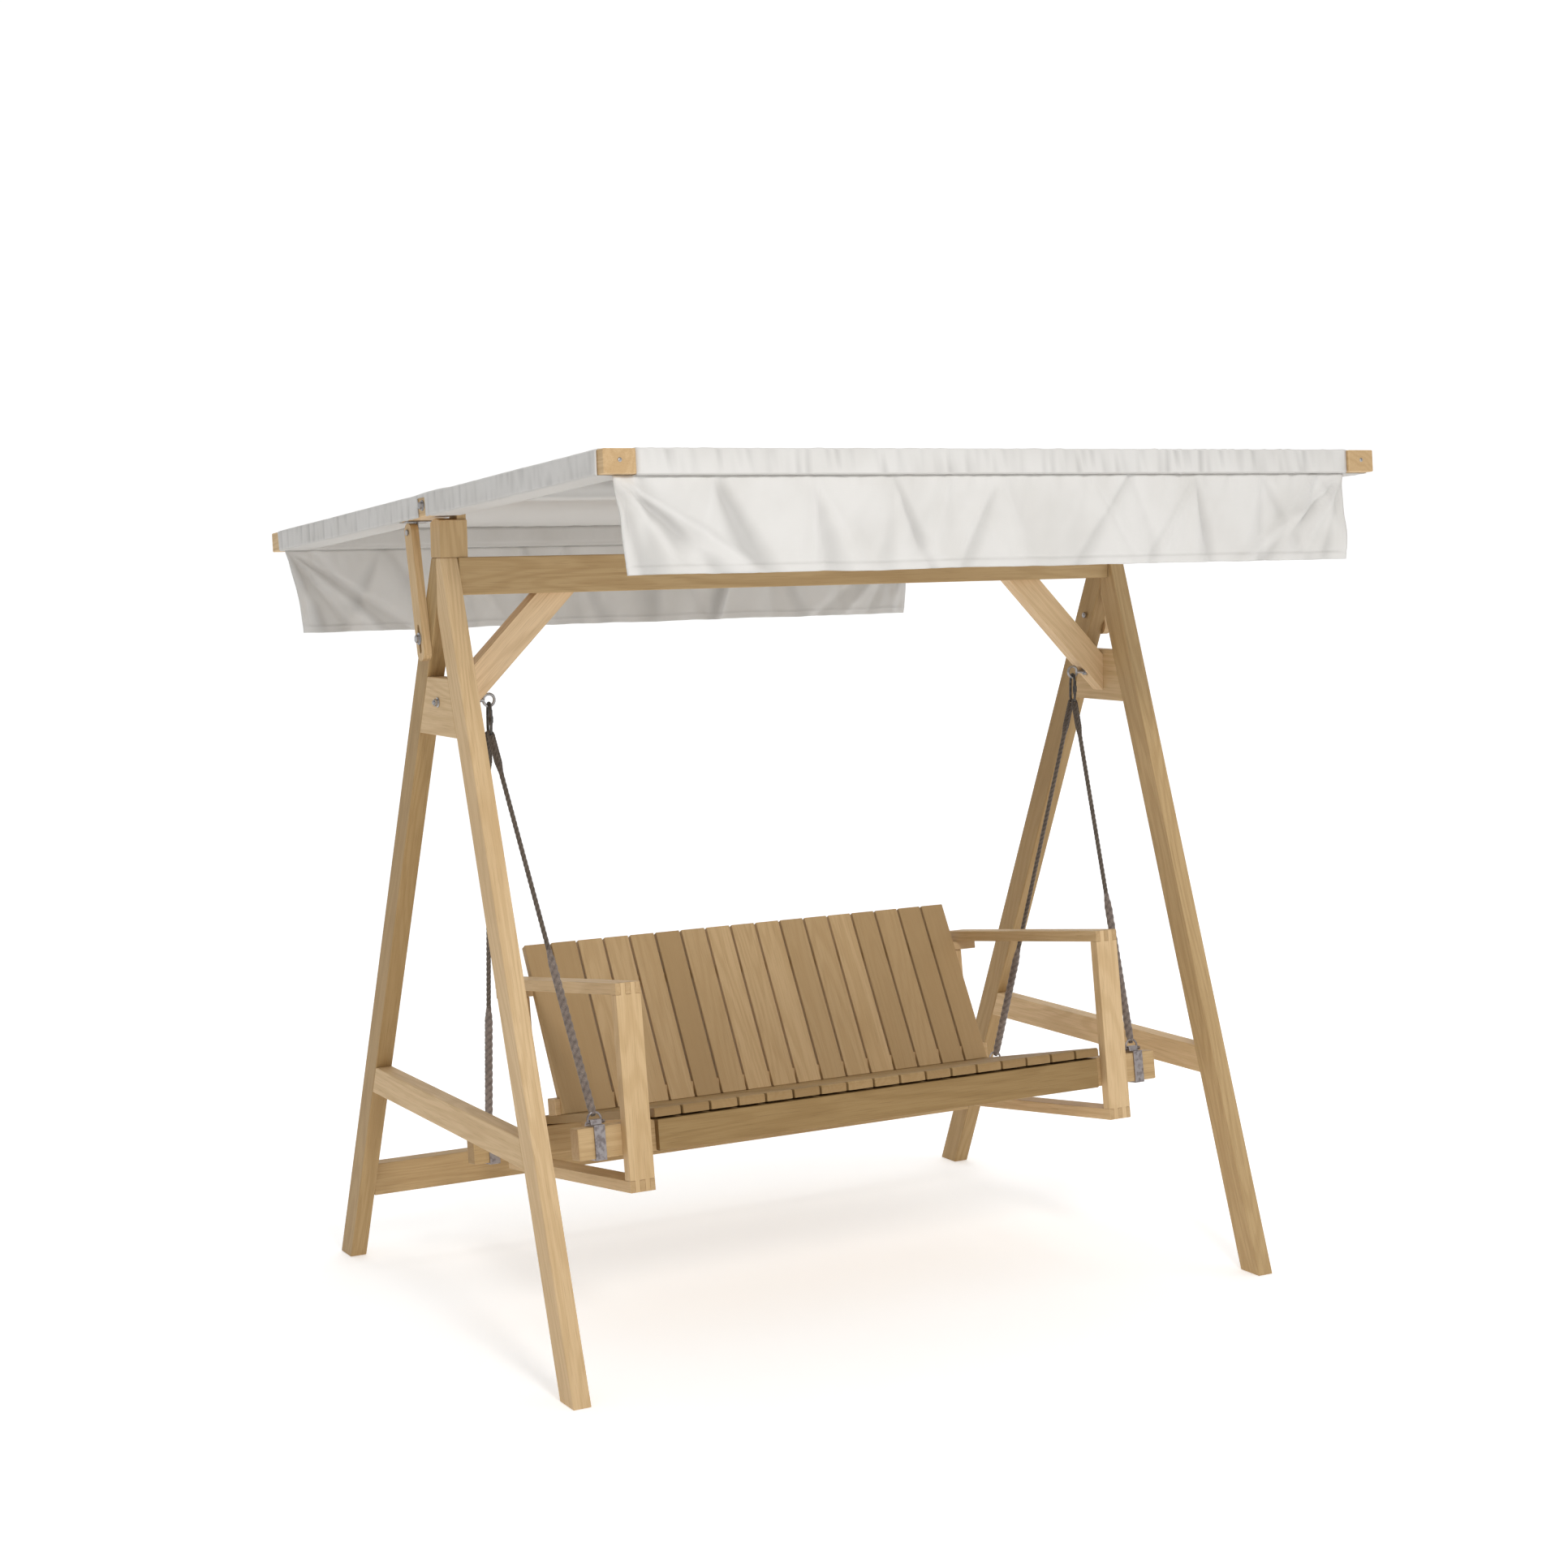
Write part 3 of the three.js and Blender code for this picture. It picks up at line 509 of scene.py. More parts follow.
ROPES = (  # end, hanger beam, which way it leans, length of its lower splice
    ("front", FRONT_HANGER, -1, 0.410),
    ("rear", REAR_HANGER, 1, 0.330),
)
for hand, side in HANDS:
    for end, (s, high), way, low_splice in ROPES:
        foot = SEAT @ Vector((side * ROPE_X, s + HANGER / 2, high + EAR_RISE))
        head = Vector((side * EYE.x, EYE.y + way * ROPE_APART, ROPE_HEAD_Z))
        line = (head - foot).normalized()
        foot += line * FOOT_LIFT
        label = end + "_" + hand

        points = straight(head, foot, ROPE_STEP)
        verts, faces, values = laid(points, ROPE_R, ROPE_LAY, 15)
        core = made("swing_rope_" + label, verts, faces)
        shade_lay(core, values)
        add(core, ROPE, "seat", "rope_" + label)

        # The splice is a tapered sleeve of tucked strands over the rope's lower end.
        top = foot + line * low_splice
        points = straight(top, foot + line * 0.004, ROPE_STEP)
        values = []
        reach = (points[-1] - points[0]).length

        def tucked(along, angle, reach=reach, values=values):
            turn = STRANDS / 2 * (angle - 2 * math.pi * along / SPLICE_LAY)
            crest = abs(math.cos(turn)) ** 0.7
            tuck = abs(math.sin(math.pi * along / TUCK + angle))
            taper = min(1.0, 0.62 + along / 0.09, 0.80 + (reach - along) / 0.10)
            # Painted shade mask: highest between the strands and in the tucks.
            values.append(1 - 0.65 * crest - 0.35 * tuck)
            return SPLICE_R * taper * (0.74 + 0.17 * crest + 0.09 * tuck)

        verts, faces = tube(points, tucked, 18)
        sleeve = made("rope_low_splice_" + label, verts, faces)
        shade_lay(sleeve, values)
        add(sleeve, SPLICE, "seat")

        # The eye is a narrow loop through the hook, its two legs married to the rope below.
        joint = head - line * EYE_LONG
        crown = head + line * EYE_CROWN
        across = Vector((1, 0, 0))
        across = (across - line * across.dot(line)).normalized()

        def leg_point(i, way, joint=joint, crown=crown, across=across):
            t = i / EYE_STEPS
            wide = EYE_HALF * min(1.0, 0.35 + t * 2.2)
            return joint.lerp(crown, t * CROWN_AT) + across * (way * wide)

        loop = [joint - across * 0.002]
        loop += [leg_point(i, -1) for i in range(EYE_STEPS + 1)]
        for i in range(1, 12):
            turn = math.pi * i / 12
            beside = joint.lerp(crown, CROWN_AT) - across * (EYE_HALF * math.cos(turn))
            loop.append(beside + line * (EYE_BEND * math.sin(turn)))
        loop += [leg_point(i, 1) for i in range(EYE_STEPS, -1, -1)]
        verts, faces, values = laid(loop, EYE_LEG, EYE_LAY, 12)
        eye_loop = made("rope_eye_" + label, verts, faces)
        shade_lay(eye_loop, values)
        add(eye_loop, ROPE, "seat")

        # The shackle over the strap's ear, with its pin.
        def ear(x, rise, s=s, high=high, side=side):
            return SEAT @ Vector((side * ROPE_X + x, s + HANGER / 2, high + rise))

        bow = [ear(-SHACKLE_HALF, SHACKLE_PIN), ear(-SHACKLE_HALF, SHACKLE_LEG)]
        for i in range(1, 16):
            turn = math.pi * i / 16
            bow.append(ear(-SHACKLE_HALF * math.cos(turn), SHACKLE_LEG + SHACKLE_BOW * math.sin(turn)))
        bow += [ear(SHACKLE_HALF, SHACKLE_LEG), ear(SHACKLE_HALF, SHACKLE_PIN)]
        pin = straight(ear(-0.0225, SHACKLE_PIN), ear(0.0215, SHACKLE_PIN), 0.002)
        head_of_pin = straight(ear(0.0205, SHACKLE_PIN), ear(0.0255, SHACKLE_PIN), 0.0025)
        shackle = made(
            "rope_shackle_" + label,
            *both(tube(bow, 0.0027, 10), tube(pin, 0.0032, 12), tube(head_of_pin, 0.0052, 6)),
        )
        shackle.data.set_sharp_from_angle(angle=SHARP_OVER)
        add(shackle, STRAP, "seat")

for hand, side in HANDS:
    # The eye: a forged ring with a small gap at its shank, where the wire is bent round.
    centre = Vector((side * EYE.x, EYE.y, EYE.z))
    ring = []
    for i in range(49):
        turn = math.radians(14) + math.radians(332) * i / 48
        ring.append(centre + Vector((side * EYE_RING * math.cos(turn), 0, EYE_RING * math.sin(turn))))
    shank_start = centre + Vector((side * (EYE_RING - 0.002), 0, 0))
    shank = straight(shank_start, centre + Vector((side * SHANK_END, 0, 0)), 0.0009)

    def thread(along, angle):
        if along < THREAD_FROM:
            return 0.0049
        return 0.0047 + 0.0004 * math.sin(2 * math.pi * along / THREAD_PITCH + angle)

    flange = straight(*(centre + Vector((side * x, 0, 0)) for x in FLANGE), 0.004)
    pieces = tube(ring, EYE_WIRE, WIRE_SIDES), tube(shank, thread, 16), tube(flange, 0.0105, 24)
    eye = made("eye_" + hand, *both(*pieces))
    eye.data.set_sharp_from_angle(angle=SHARP_OVER)
    add(eye, ZINC, "frame", "eye_bolt_" + hand)

    # The snap hook: a long pear of round bar with a hinged gate and a collar.
    middle = (HOOK_TOP + HOOK_LOW) / 2
    half_high = (HOOK_TOP - HOOK_LOW) / 2
    bar = []
    for i in range(64):
        turn = 2 * math.pi * i / 64
        wide = HOOK_HALF - HOOK_NARROWS * math.sin(turn)
        wide *= math.copysign(abs(math.cos(turn)) ** 0.7, math.cos(turn))
        tall = math.copysign(abs(math.sin(turn)) ** 0.55, math.sin(turn)) * half_high
        bar.append(Vector((side * EYE.x, EYE.y + wide, middle + tall)))
    gate = straight(
        Vector((side * EYE.x, EYE.y - GATE_OUT, middle + 0.021)),
        Vector((side * EYE.x, EYE.y - 0.0098, middle - 0.016)),
        0.002,
    )
    collar = straight(
        Vector((side * EYE.x, EYE.y - GATE_OUT, middle + 0.006)),
        Vector((side * EYE.x, EYE.y - 0.0100, middle - 0.010)),
        0.0016,
    )
    hook = made(
        "snap_hook_" + hand,
        *both(
            tube(bar, 0.0036, WIRE_SIDES, closed=True, across=(1, 0, 0)),
            tube(gate, 0.0042, WIRE_SIDES),
            tube(collar, lambda along, angle: 0.0056 + 0.0003 * math.sin(along * 3000), 18),
        ),
    )
    hook.data.set_sharp_from_angle(angle=SHARP_OVER)
    add(hook, DARK, "seat", "rope_hook_" + hand)

# ---- Canvas --------------------------------------------------------------------------------------

CANVAS_STEP = 0.012
ROW_STEP = 0.0104
ROUND_STEP = 0.011  # round a rail, and along a band's face
FACE_STEP = 0.0055
ROUND_OFF = 0.004
CORNER = 0.0012
BAY_X = 0.952
FRONT_SAG = 0.006
REAR_SAG = 0.013


def sag(x, y):
    """How far the top sheet hangs between the rails."""
    reach = max(0.0, 1 - (x / SIDE_IN) ** 2)
    front_bay = FRONT_RAIL[1], CROSS_RAIL[0], FRONT_SAG
    rear_bay = CROSS_RAIL[1], REAR_RAIL[0], REAR_SAG
    for low, high, deep in (front_bay, rear_bay):
        if low < y < high:
            t = (y - low) / (high - low)
            return -deep * reach ** 0.5 * (4 * t * (1 - t)) ** 0.7
    return 0.0


def taut_wrinkles(x, y):
    """Low wrinkles that run in from the side rails and the cross rail."""
    edge = max(0.0, 1 - (SIDE_IN - abs(x)) / 0.5)
    rail = math.exp(-abs(y - CROSS_RAIL[1]) / 0.12) + math.exp(-abs(y - REAR_RAIL[0]) / 0.12)
    lines = wave(y * 24, x * 1.5, 3.1) * edge + wave(x * 26, y * 2.0, 8.2) * min(1.0, rail)
    return 0.0016 * lines + 0.0022 * wave(x * 3.2, y * 2.6, 1.4)


OVER_POST = -0.066  # where the tilted top sheet comes closest to the head posts
OVER_POST_LIFT = 0.0022
PUCKER_OUT = 0.0014  # the cloth stands off the rail between puckers


def pucker(along, down, seed):
    """Short puckers across a band that is drawn tight on its rail. They never reach into the wood."""
    broad = 0.0040 * wave(along * 52, down * 6, seed) + 0.0030 * wave(along * 135, down * 14, seed + 5)
    return PUCKER_OUT + max(-0.0019, broad * (0.45 + 1.1 * abs(wave(along * 3.1, seed, 7.0))))


def side_profile(side):
    """(x, z, outward x, outward z, part) of the cloth round a side rail, from its inner face to the top."""
    inner, outer = SIDE_IN - CLOTH_OFF, SIDE_OUT + CLOTH_OFF
    low, high = -RAIL_HALF - CLOTH_OFF, RAIL_HALF + CLOTH_OFF
    points = [(inner, z, -1, 0, "inner") for z in spread(high - 0.0008, low + ROUND_OFF, ROUND_STEP)]
    points.append((inner + CORNER, low + CORNER, -0.7, -0.7, "inner"))
    points += [(x, low, 0, -1, "under") for x in spread(inner + ROUND_OFF, outer - ROUND_OFF, 0.014)]
    points.append((outer - CORNER, low + CORNER, 0.7, -0.7, "outer"))
    points += [(outer, z, 1, 0, "outer") for z in spread(low + ROUND_OFF, high - ROUND_OFF, FACE_STEP)]
    points.append((outer - CORNER, high - CORNER, 0.7, 0.7, "top"))
    points += [(x, high, 0, 1, "top") for x in spread(outer - ROUND_OFF, BAY_X, CANVAS_STEP)]
    return [(side * x, z, side * nx, nz, part) for x, z, nx, nz, part in points]


def band_profile(y_top, y_face, y_back, way):
    """(y, z, outward y, outward z) of the cloth round the front or rear rail, from the top sheet."""
    low, high = -RAIL_HALF - CLOTH_OFF, RAIL_HALF + CLOTH_OFF
    points = [(y_top, high, 0, 1), ((y_top + y_face) / 2 - way * 0.002, high, 0, 1)]
    points += [(y_face - way * 0.0030, high - 0.0002, 0, 1)]
    points += [(y_face - way * 0.0008, high - CORNER, 0.7 * way, 0.7)]
    points += [(y_face, z, way, 0) for z in spread(high - ROUND_OFF, low + ROUND_OFF, FACE_STEP)]
    points += [(y_face - way * 0.0008, low + CORNER, 0.7 * way, -0.7)]
    points += [(y, low, 0, -1) for y in spread(y_face - way * ROUND_OFF, y_back + way * ROUND_OFF, 0.013)]
    points += [(y_back, z, -way, 0) for z in spread(low + ROUND_OFF, high - 0.0008, ROUND_STEP)]
    return points


TOP_X = spread(-BAY_X, BAY_X, CANVAS_STEP)
ROWS_Y = sorted(
    set(spread(SLEEVES[0], -SLIT, ROW_STEP))
    | set(spread(-SLIT, SLIT, 0.010))
    | set(spread(SLIT, REAR_FOLD, ROW_STEP))
    | {SLEEVES[1]}
)

profile = side_profile(-1)
profile += [(x, RAIL_HALF + CLOTH_OFF, 0, 1, "top") for x in TOP_X[1:-1]]
profile += list(reversed(side_profile(1)))


def cover_point(x, z, nx, nz, part, y):
    """The cover at a point of its profile, in the row at y: sag and wrinkles on top, puckers outside."""
    if part == "top":
        loose = 1.0 if abs(x) < SIDE_IN else 0.3
        lift = (sag(x, y) + taut_wrinkles(x, y)) * loose
        if FRONT_RAIL[1] > y or CROSS_RAIL[0] < y < CROSS_RAIL[1] or y > REAR_RAIL[0]:
            lift = 0.0006 * wave(x * 40, y * 20, 2.0)
        near = math.exp(-(((y - OVER_POST) / 0.09) ** 4)) * min(1.0, max(0.0, (abs(x) - 0.86) / 0.05))
        return Vector((x, y, z + lift + near * (OVER_POST_LIFT - lift)))
    amount = pucker(y, z, 1.0 + nx) if part == "outer" else 0.0008 * wave(y * 30, x * 20 + z * 20, 6.0)
    return Vector((x + nx * amount, y, z + nz * amount))


rows = [[cover_point(*p, y) for p in profile] for y in ROWS_Y]
verts, faces = grid(rows)


def cut_away(face):
    """Where the cover is open: the slits for the bolts, over the posts, and behind the rear fold."""
    centre = sum((verts[i] for i in face), Vector()) / 4
    part_x = abs(centre.x)
    if centre.y > REAR_FOLD and part_x < BAY_X:
        return True
    if abs(centre.y) < SLIT and part_x > SIDE_OUT - 0.001 and centre.z < 0.018:
        return True
    low_side = centre.z < -RAIL_HALF or (part_x < SIDE_IN and centre.z < 0.022)
    return POST_OPENING[0] < centre.y < POST_OPENING[1] and part_x > BAY_X and low_side


shell = (verts, [f for f in faces if not cut_away(f)])


def shade_creases(obj, depths, full):
    """Notes how deep each vertex lies in the creases, from 0 to 1, as the mask of the painted shade there.
    """
    values = [min(1.0, max(0.0, -d / full)) for d in depths]
    obj.data.attributes.new("crease_shade", "FLOAT", "POINT").data.foreach_set("value", values)


def banded(points, seed):
    """The cloth round a rail across the canopy, from its profile in (y, z)."""
    rows = []
    for y, z, ny, nz in points:
        row = []
        for x in TOP_X:
            amount = pucker(x, z, seed) if abs(ny) > 0.5 else 0.0006 * wave(x * 40, y * 20, 2.0)
            fade = min(1.0, (BAY_X - abs(x)) / 0.01)
            row.append(Vector((x, y + ny * amount * fade, z + nz * amount)))
        rows.append(row)
    return grid(rows)


low = -RAIL_HALF - CLOTH_OFF
pocket_top = RAIL_HALF + 0.0007
pocket = [(CROSS_RAIL[0] - CLOTH_OFF, z, -1, 0) for z in spread(pocket_top, low + ROUND_OFF, ROUND_STEP)]
pocket += [(y, low, 0, -1) for y in spread(CROSS_RAIL[0] + 0.003, CROSS_RAIL[1] - 0.003, CANVAS_STEP)]
pocket += [(CROSS_RAIL[1] + CLOTH_OFF, z, 1, 0) for z in spread(low + ROUND_OFF, pocket_top, ROUND_STEP)]

cover = made(
    "canopy_canvas",
    *both(
        shell,
        banded(band_profile(SLEEVES[0], FRONT_RAIL[0] - CLOTH_OFF, FRONT_RAIL[1] + CLOTH_OFF, -1), 11.0),
        banded(band_profile(REAR_FOLD, REAR_RAIL[1] + CLOTH_OFF, REAR_RAIL[0] - CLOTH_OFF, 1), 23.0),
        banded(pocket, 31.0),
    ),
)
mesh = bmesh.new()
mesh.from_mesh(cover.data)
bmesh.ops.remove_doubles(mesh, verts=mesh.verts, dist=0.0004)
bmesh.ops.delete(mesh, geom=[v for v in mesh.verts if not v.link_faces], context="VERTS")
bmesh.ops.recalc_face_normals(mesh, faces=mesh.faces)
mesh.to_mesh(cover.data)
mesh.free()
cover.data.shade_smooth()
faces_out = SIDE_OUT + CLOTH_OFF, -FRONT_RAIL[0] + CLOTH_OFF, REAR_RAIL[1] + CLOTH_OFF
# Painted shade: how far each point of the bands sinks between the puckers, which the canvas darkens as
# shade.
depths = []
for v in cover.data.vertices:
    proud = [abs(v.co.x) - faces_out[0], -v.co.y - faces_out[1], v.co.y - faces_out[2]]
    if abs(v.co.x) < BAY_X:
        proud[0] = -1.0
    else:
        proud[1] = proud[2] = -1.0
    nearest = max(proud)
    depths.append(nearest - PUCKER_OUT if nearest > -0.006 and abs(v.co.z) < RAIL_HALF - 0.002 else 0.0)
shade_creases(cover, depths, 0.0019)
cover.matrix_world = CANOPY
thick = cover.modifiers.new("cloth", "SOLIDIFY")
thick.thickness = CLOTH
thick.offset = 0
add(cover, SHADED_UNDER_CANVAS, "canopy", "canopy_cover")


FOLD_POINTS = 11
FOLDS_AT_POINT = 4
HEM = 0.018
HEM_THICK = 0.0038  # the cloth between the hems is 0.36 of that
SINGLE = 0.36
STITCH = 0.0010
VALANCE_HALF = SIDE_IN + 0.020


def valance(name, node, y, drop, seed, way, flared, wide_end):
    """A strip that hangs from under a rail, in soft folds, with a hem along its foot and both ends."""
    half = VALANCE_HALF
    seam = drop - HEM
    columns = sorted(set(spread(-half, wide_end, 0.0065)) | {-half + HEM, wide_end - HEM})
    down = sorted(set(spread(0, seam, 0.0062)) | {seam + 0.0012} | set(spread(seam + 0.004, drop, 0.004)))
    chance = random.Random(seed)
    rays = []
    for k in range(FOLD_POINTS):
        top = -half + 2 * half * (k + chance.uniform(0.2, 0.8)) / FOLD_POINTS
        for _ in range(FOLDS_AT_POINT):
            foot = top + chance.uniform(-0.15, 0.15)
            wide = chance.uniform(0.013, 0.034)
            rays.append((top, foot, wide, chance.uniform(-0.022, 0.022)))
    for end in (-half, wide_end):
        for k in range(FOLDS_AT_POINT):
            reach = (0.05 + 0.09 * k) * (-1 if end > 0 else 1)
            rays.append((end, end + reach, 0.014 + 0.003 * k, 0.019 if k % 2 else -0.018))
    rows, depths = [], []
    for z in down:
        t = z / drop
        row = []
        for x in columns:
            folds = 0.0140 * wave(x * 4.2 + t * 0.5, t * 0.5, seed) * t ** 0.8
            for x_top, x_low, wide, high in rays:
                spreading = wide * (0.45 + 0.9 * t)
                away = (x - x_top - (x_low - x_top) * t) / spreading
                if abs(away) < 3:
                    folds += high * math.exp(-away * away) * t ** 0.45 * (1 - 0.50 * t)
            folds += 0.0026 * wave(x * 46, z * 9, seed + 9) * math.exp(-z / 0.040)
            folds += 0.0016 * wave((x + z * 0.6) * 30, z * 12, seed + 2)
            edge = min(x + half, wide_end - x)
            curl = 0.006 * math.exp(-edge / 0.05) * t
            stitched = -STITCH if abs(z - seam) < 0.002 else 0.0
            lift = 0.0030 * wave(x * 4.1, seed, 2.0) * t + 0.0012 * wave(x * 15, seed, 5.0) * t
            pull = 0.0035 * wave(t * 2.2, seed, x) * math.exp(-edge / 0.06)
            flare = 1 + flared * max(0.0, -x / half) * (1 - t) ** 1.4
            depths.append(folds)
            row.append(Vector((x * flare + pull * t, way * (folds + curl) + way * stitched, -z + lift)))
        rows.append(row)
    obj = made(name, *grid(rows))
    # Painted shade in the hollows of the folds.
    shade_creases(obj, depths, 0.013)
    thicker = obj.vertex_groups.new(name="hem")
    for r, z in enumerate(down):
        for c, x in enumerate(columns):
            on_hem = z > seam or min(x + half, wide_end - x) < HEM
            thicker.add([r * len(columns) + c], 1.0 if on_hem else SINGLE, "REPLACE")
    thick = obj.modifiers.new("cloth", "SOLIDIFY")
    thick.thickness = HEM_THICK
    thick.offset = 0
    thick.vertex_group = "hem"
    rest = CANOPY @ Vector((0, y, -RAIL_HALF - CLOTH_OFF - 0.001))
    obj.matrix_world = Matrix.Translation(rest)
    add(obj, CANVAS, "canopy", node)


valance("front_valance_canvas", "front_valance", -0.9895, 0.205, 4, -1, 0.027, 0.950)
valance("rear_valance_canvas", "rear_valance", 1.0515, 0.226, 41, 1, 0.050, 0.975)

# ---- Timber --------------------------------------------------------------------------------------


def along_seat(direction):
    return (SEAT.to_3x3() @ Vector(direction)).normalized()


BACK = math.radians(21.9)
TO_X = (1, 0, 0)
TO_Y = (0, 1, 0)
TO_Z = (0, 0, 1)
GRAIN = {
    "top_beam": TO_X,
    "rear_stretcher": TO_X,
    "canopy_front_rail": TO_X,
    "canopy_cross_rail": TO_X,
    "canopy_rear_rail": TO_X,
    "front_hanger_beam": TO_X,
    "rear_hanger_beam": TO_X,
    "seat_fascia": TO_X,
}
for hand, side in HANDS:
    GRAIN["front_leg_" + hand] = (0, math.tan(math.radians(19.1)), 1)
    GRAIN["rear_leg_" + hand] = (0, -math.tan(math.radians(23.1)), 1)
    GRAIN["tie_block_" + hand] = TO_Y
    GRAIN["side_rail_" + hand] = TO_Y
    GRAIN["knee_brace_" + hand] = (-side, 0, 1)
    GRAIN["head_post_" + hand] = TO_Z
    GRAIN["canopy_side_rail_" + hand] = CANOPY.to_3x3() @ Vector(TO_Y)
    GRAIN["canopy_strut_" + hand] = (0, math.tan(math.radians(12.28)), 1)
    GRAIN["arm_front_board_" + hand] = along_seat(TO_Z)
    GRAIN["arm_top_board_" + hand] = along_seat(TO_Y)
    GRAIN["arm_bottom_board_" + hand] = along_seat(TO_Y)
    GRAIN["rear_arm_post_" + hand] = along_seat(TO_Z)
FINGERED = ("arm_front_board", "arm_top_board", "arm_bottom_board")

# Brightness of each part's timber: partly the timber's own tone. Partly it is painted shade on parts that
# stand in shade or further from the lamps (rear legs, right front leg, beams, head posts), and painted
# light on the knee braces.
SHADE_AND_TONE = {
    "seat_fascia": 0.45,
    "top_beam": 0.76,
    "rear_stretcher": 0.74,
    "front_hanger_beam": 0.84,
    "rear_hanger_beam": 0.72,
    "rear_leg_left": 0.62,
    "rear_leg_right": 0.62,
    "knee_brace_left": 1.25,
    "knee_brace_right": 1.15,
    "front_leg_right": 0.74,
    "head_post_left": 0.86,
    "head_post_right": 0.86,
}

for seed, (node, grain) in enumerate(sorted(GRAIN.items())):
    obj = nodes[node]
    tone = SHADE_AND_TONE.get(node, 0.92 + 0.08 * ((seed * 7) % 11) / 10)
    wear(obj, timber("timber_" + node, grain, seed + 1, tone=tone))
    soften(obj, 0.0010 if node.startswith(FINGERED) else 0.0025, weld=True)

STEEL_NODES = {}
for hand, _ in HANDS:
    STEEL_NODES["eye_bolt_nut_" + hand] = ZINC
    STEEL_NODES["canopy_pivot_bolt_" + hand] = ZINC
    STEEL_NODES["strut_clamp_bolt_" + hand] = ZINC
    STEEL_NODES["strut_bracket_" + hand] = ZINC
    STEEL_NODES["rope_strap_front_" + hand] = STRAP
    STEEL_NODES["rope_strap_rear_" + hand] = STRAP
for node, shader in STEEL_NODES.items():
    obj = nodes[node]
    wear(obj, shader)
    soften(obj, 0.0006, weld=True)

SLATS = 17
SLAT_PITCH = 0.0765
SLAT_WIDE = 0.070
SLAT_THICK = 0.022
NOSE = 0.008  # radius of the seat slats' front edge
BATTEN_HIGH = 0.025
SLAT_GAP = 0.0003
SLAT_SLOPE = math.tan(math.radians(5.2))
SEAT_LOW = 0.1674
SLAT_FRONT = 0.008
SLAT_REAR = 0.735
BACK_FOOT = 0.538
BACK_TOP = 0.5745
BATTENS = (0.190, 0.470)
UPPER_RAIL = (0.680, 0.733, 0.442, 0.4667)  # from and to in y, from and to in z, in the seat's frame
UPPER_RAIL_END = 0.728
LOWER_RAIL = (0.558, 0.604, 0.182)  # from and to in y, its top
LOWER_RAIL_END = 0.662
slat_rise = SLAT_THICK / math.cos(math.atan(SLAT_SLOPE))
slat_x = [(i - (SLATS - 1) / 2) * SLAT_PITCH for i in range(SLATS)]


def seat_under(s):
    return SEAT_LOW - (s - FRONT_HANGER[0]) * SLAT_SLOPE


def seat_top(s):
    return seat_under(s) + slat_rise


def boards(name, shader, stands_for, parts):
    """One piece of several boards, each with its own tone. parts are (vertices, faces)."""
    obj = made(name, *both(*parts), smooth=False)
    tones = []
    for i, (verts, _) in enumerate(parts):
        tones += [(math.sin(i * 12.9898 + len(name)) * 43758.5453) % 1.0] * len(verts)
    obj.data.attributes.new("board", "FLOAT", "POINT").data.foreach_set("value", tones)
    obj.matrix_world = SEAT
    soften(obj, 0.0022, 3)
    add(obj, shader, "seat", *stands_for)


seat_parts = []
for x in slat_x:
    outline = [
        (SLAT_FRONT, seat_under(SLAT_FRONT)),
        (SLAT_REAR, seat_under(SLAT_REAR)),
        (SLAT_REAR, seat_top(SLAT_REAR)),
    ]
    for i in range(7):
        turn = math.pi / 2 * i / 6
        s = SLAT_FRONT + NOSE - NOSE * math.sin(turn)
        outline.append((s, seat_top(s) - NOSE + NOSE * math.cos(turn)))
    seat_parts.append(prism(outline, x - SLAT_WIDE / 2, x + SLAT_WIDE / 2))
seat_timber = timber("timber_seat", TO_Y, 51, per_board=True, tone=0.66)
boards("seat_boards", seat_timber, ["seat_slats"], seat_parts)

batten_parts = []
for s in BATTENS:
    end = s + HANGER
    low_side = [(s, seat_under(s) - BATTEN_HIGH), (end, seat_under(end) - BATTEN_HIGH)]
    outline = low_side + [(end, seat_under(end)), (s, seat_under(s))]
    batten_parts.append(prism(outline, slat_x[0], slat_x[-1]))
boards("seat_battens", timber("timber_battens", TO_X, 57, per_board=True), [], batten_parts)

back_parts = []
run = math.tan(BACK)
deep = SLAT_THICK / math.cos(BACK)
head = BACK_FOOT + (BACK_TOP - seat_top(BACK_FOOT)) * run
for x in slat_x:
    outline = [
        (BACK_FOOT, seat_top(BACK_FOOT) + SLAT_GAP),
        (BACK_FOOT + deep, seat_top(BACK_FOOT + deep) + SLAT_GAP),
        (head + SLAT_THICK * math.cos(BACK), BACK_TOP - SLAT_THICK * math.sin(BACK)),
        (head, BACK_TOP),
    ]
    back_parts.append(prism(outline, x - SLAT_WIDE / 2, x + SLAT_WIDE / 2))
up_the_back = (0, math.sin(BACK), math.cos(BACK))
back_timber = timber("timber_back", up_the_back, 63, per_board=True, tone=0.92)
boards("back_boards", back_timber, ["back_slats"], back_parts)

s0, s1, n0, n1 = UPPER_RAIL
rail_parts = [prism([(s0, n0), (s1, n0), (s1, n1), (s0, n1)], -UPPER_RAIL_END, UPPER_RAIL_END)]
s0, s1, n1 = LOWER_RAIL
outline = [(s0, seat_top(s0)), (s1, seat_top(s1)), (s1, n1), (s0, n1)]
rail_parts.append(prism(outline, -LOWER_RAIL_END, LOWER_RAIL_END))
boards("back_rails", timber("timber_back_rails", TO_X, 71, per_board=True), [], rail_parts)

# ---- Screws and knobs ----------------------------------------------------------------------------

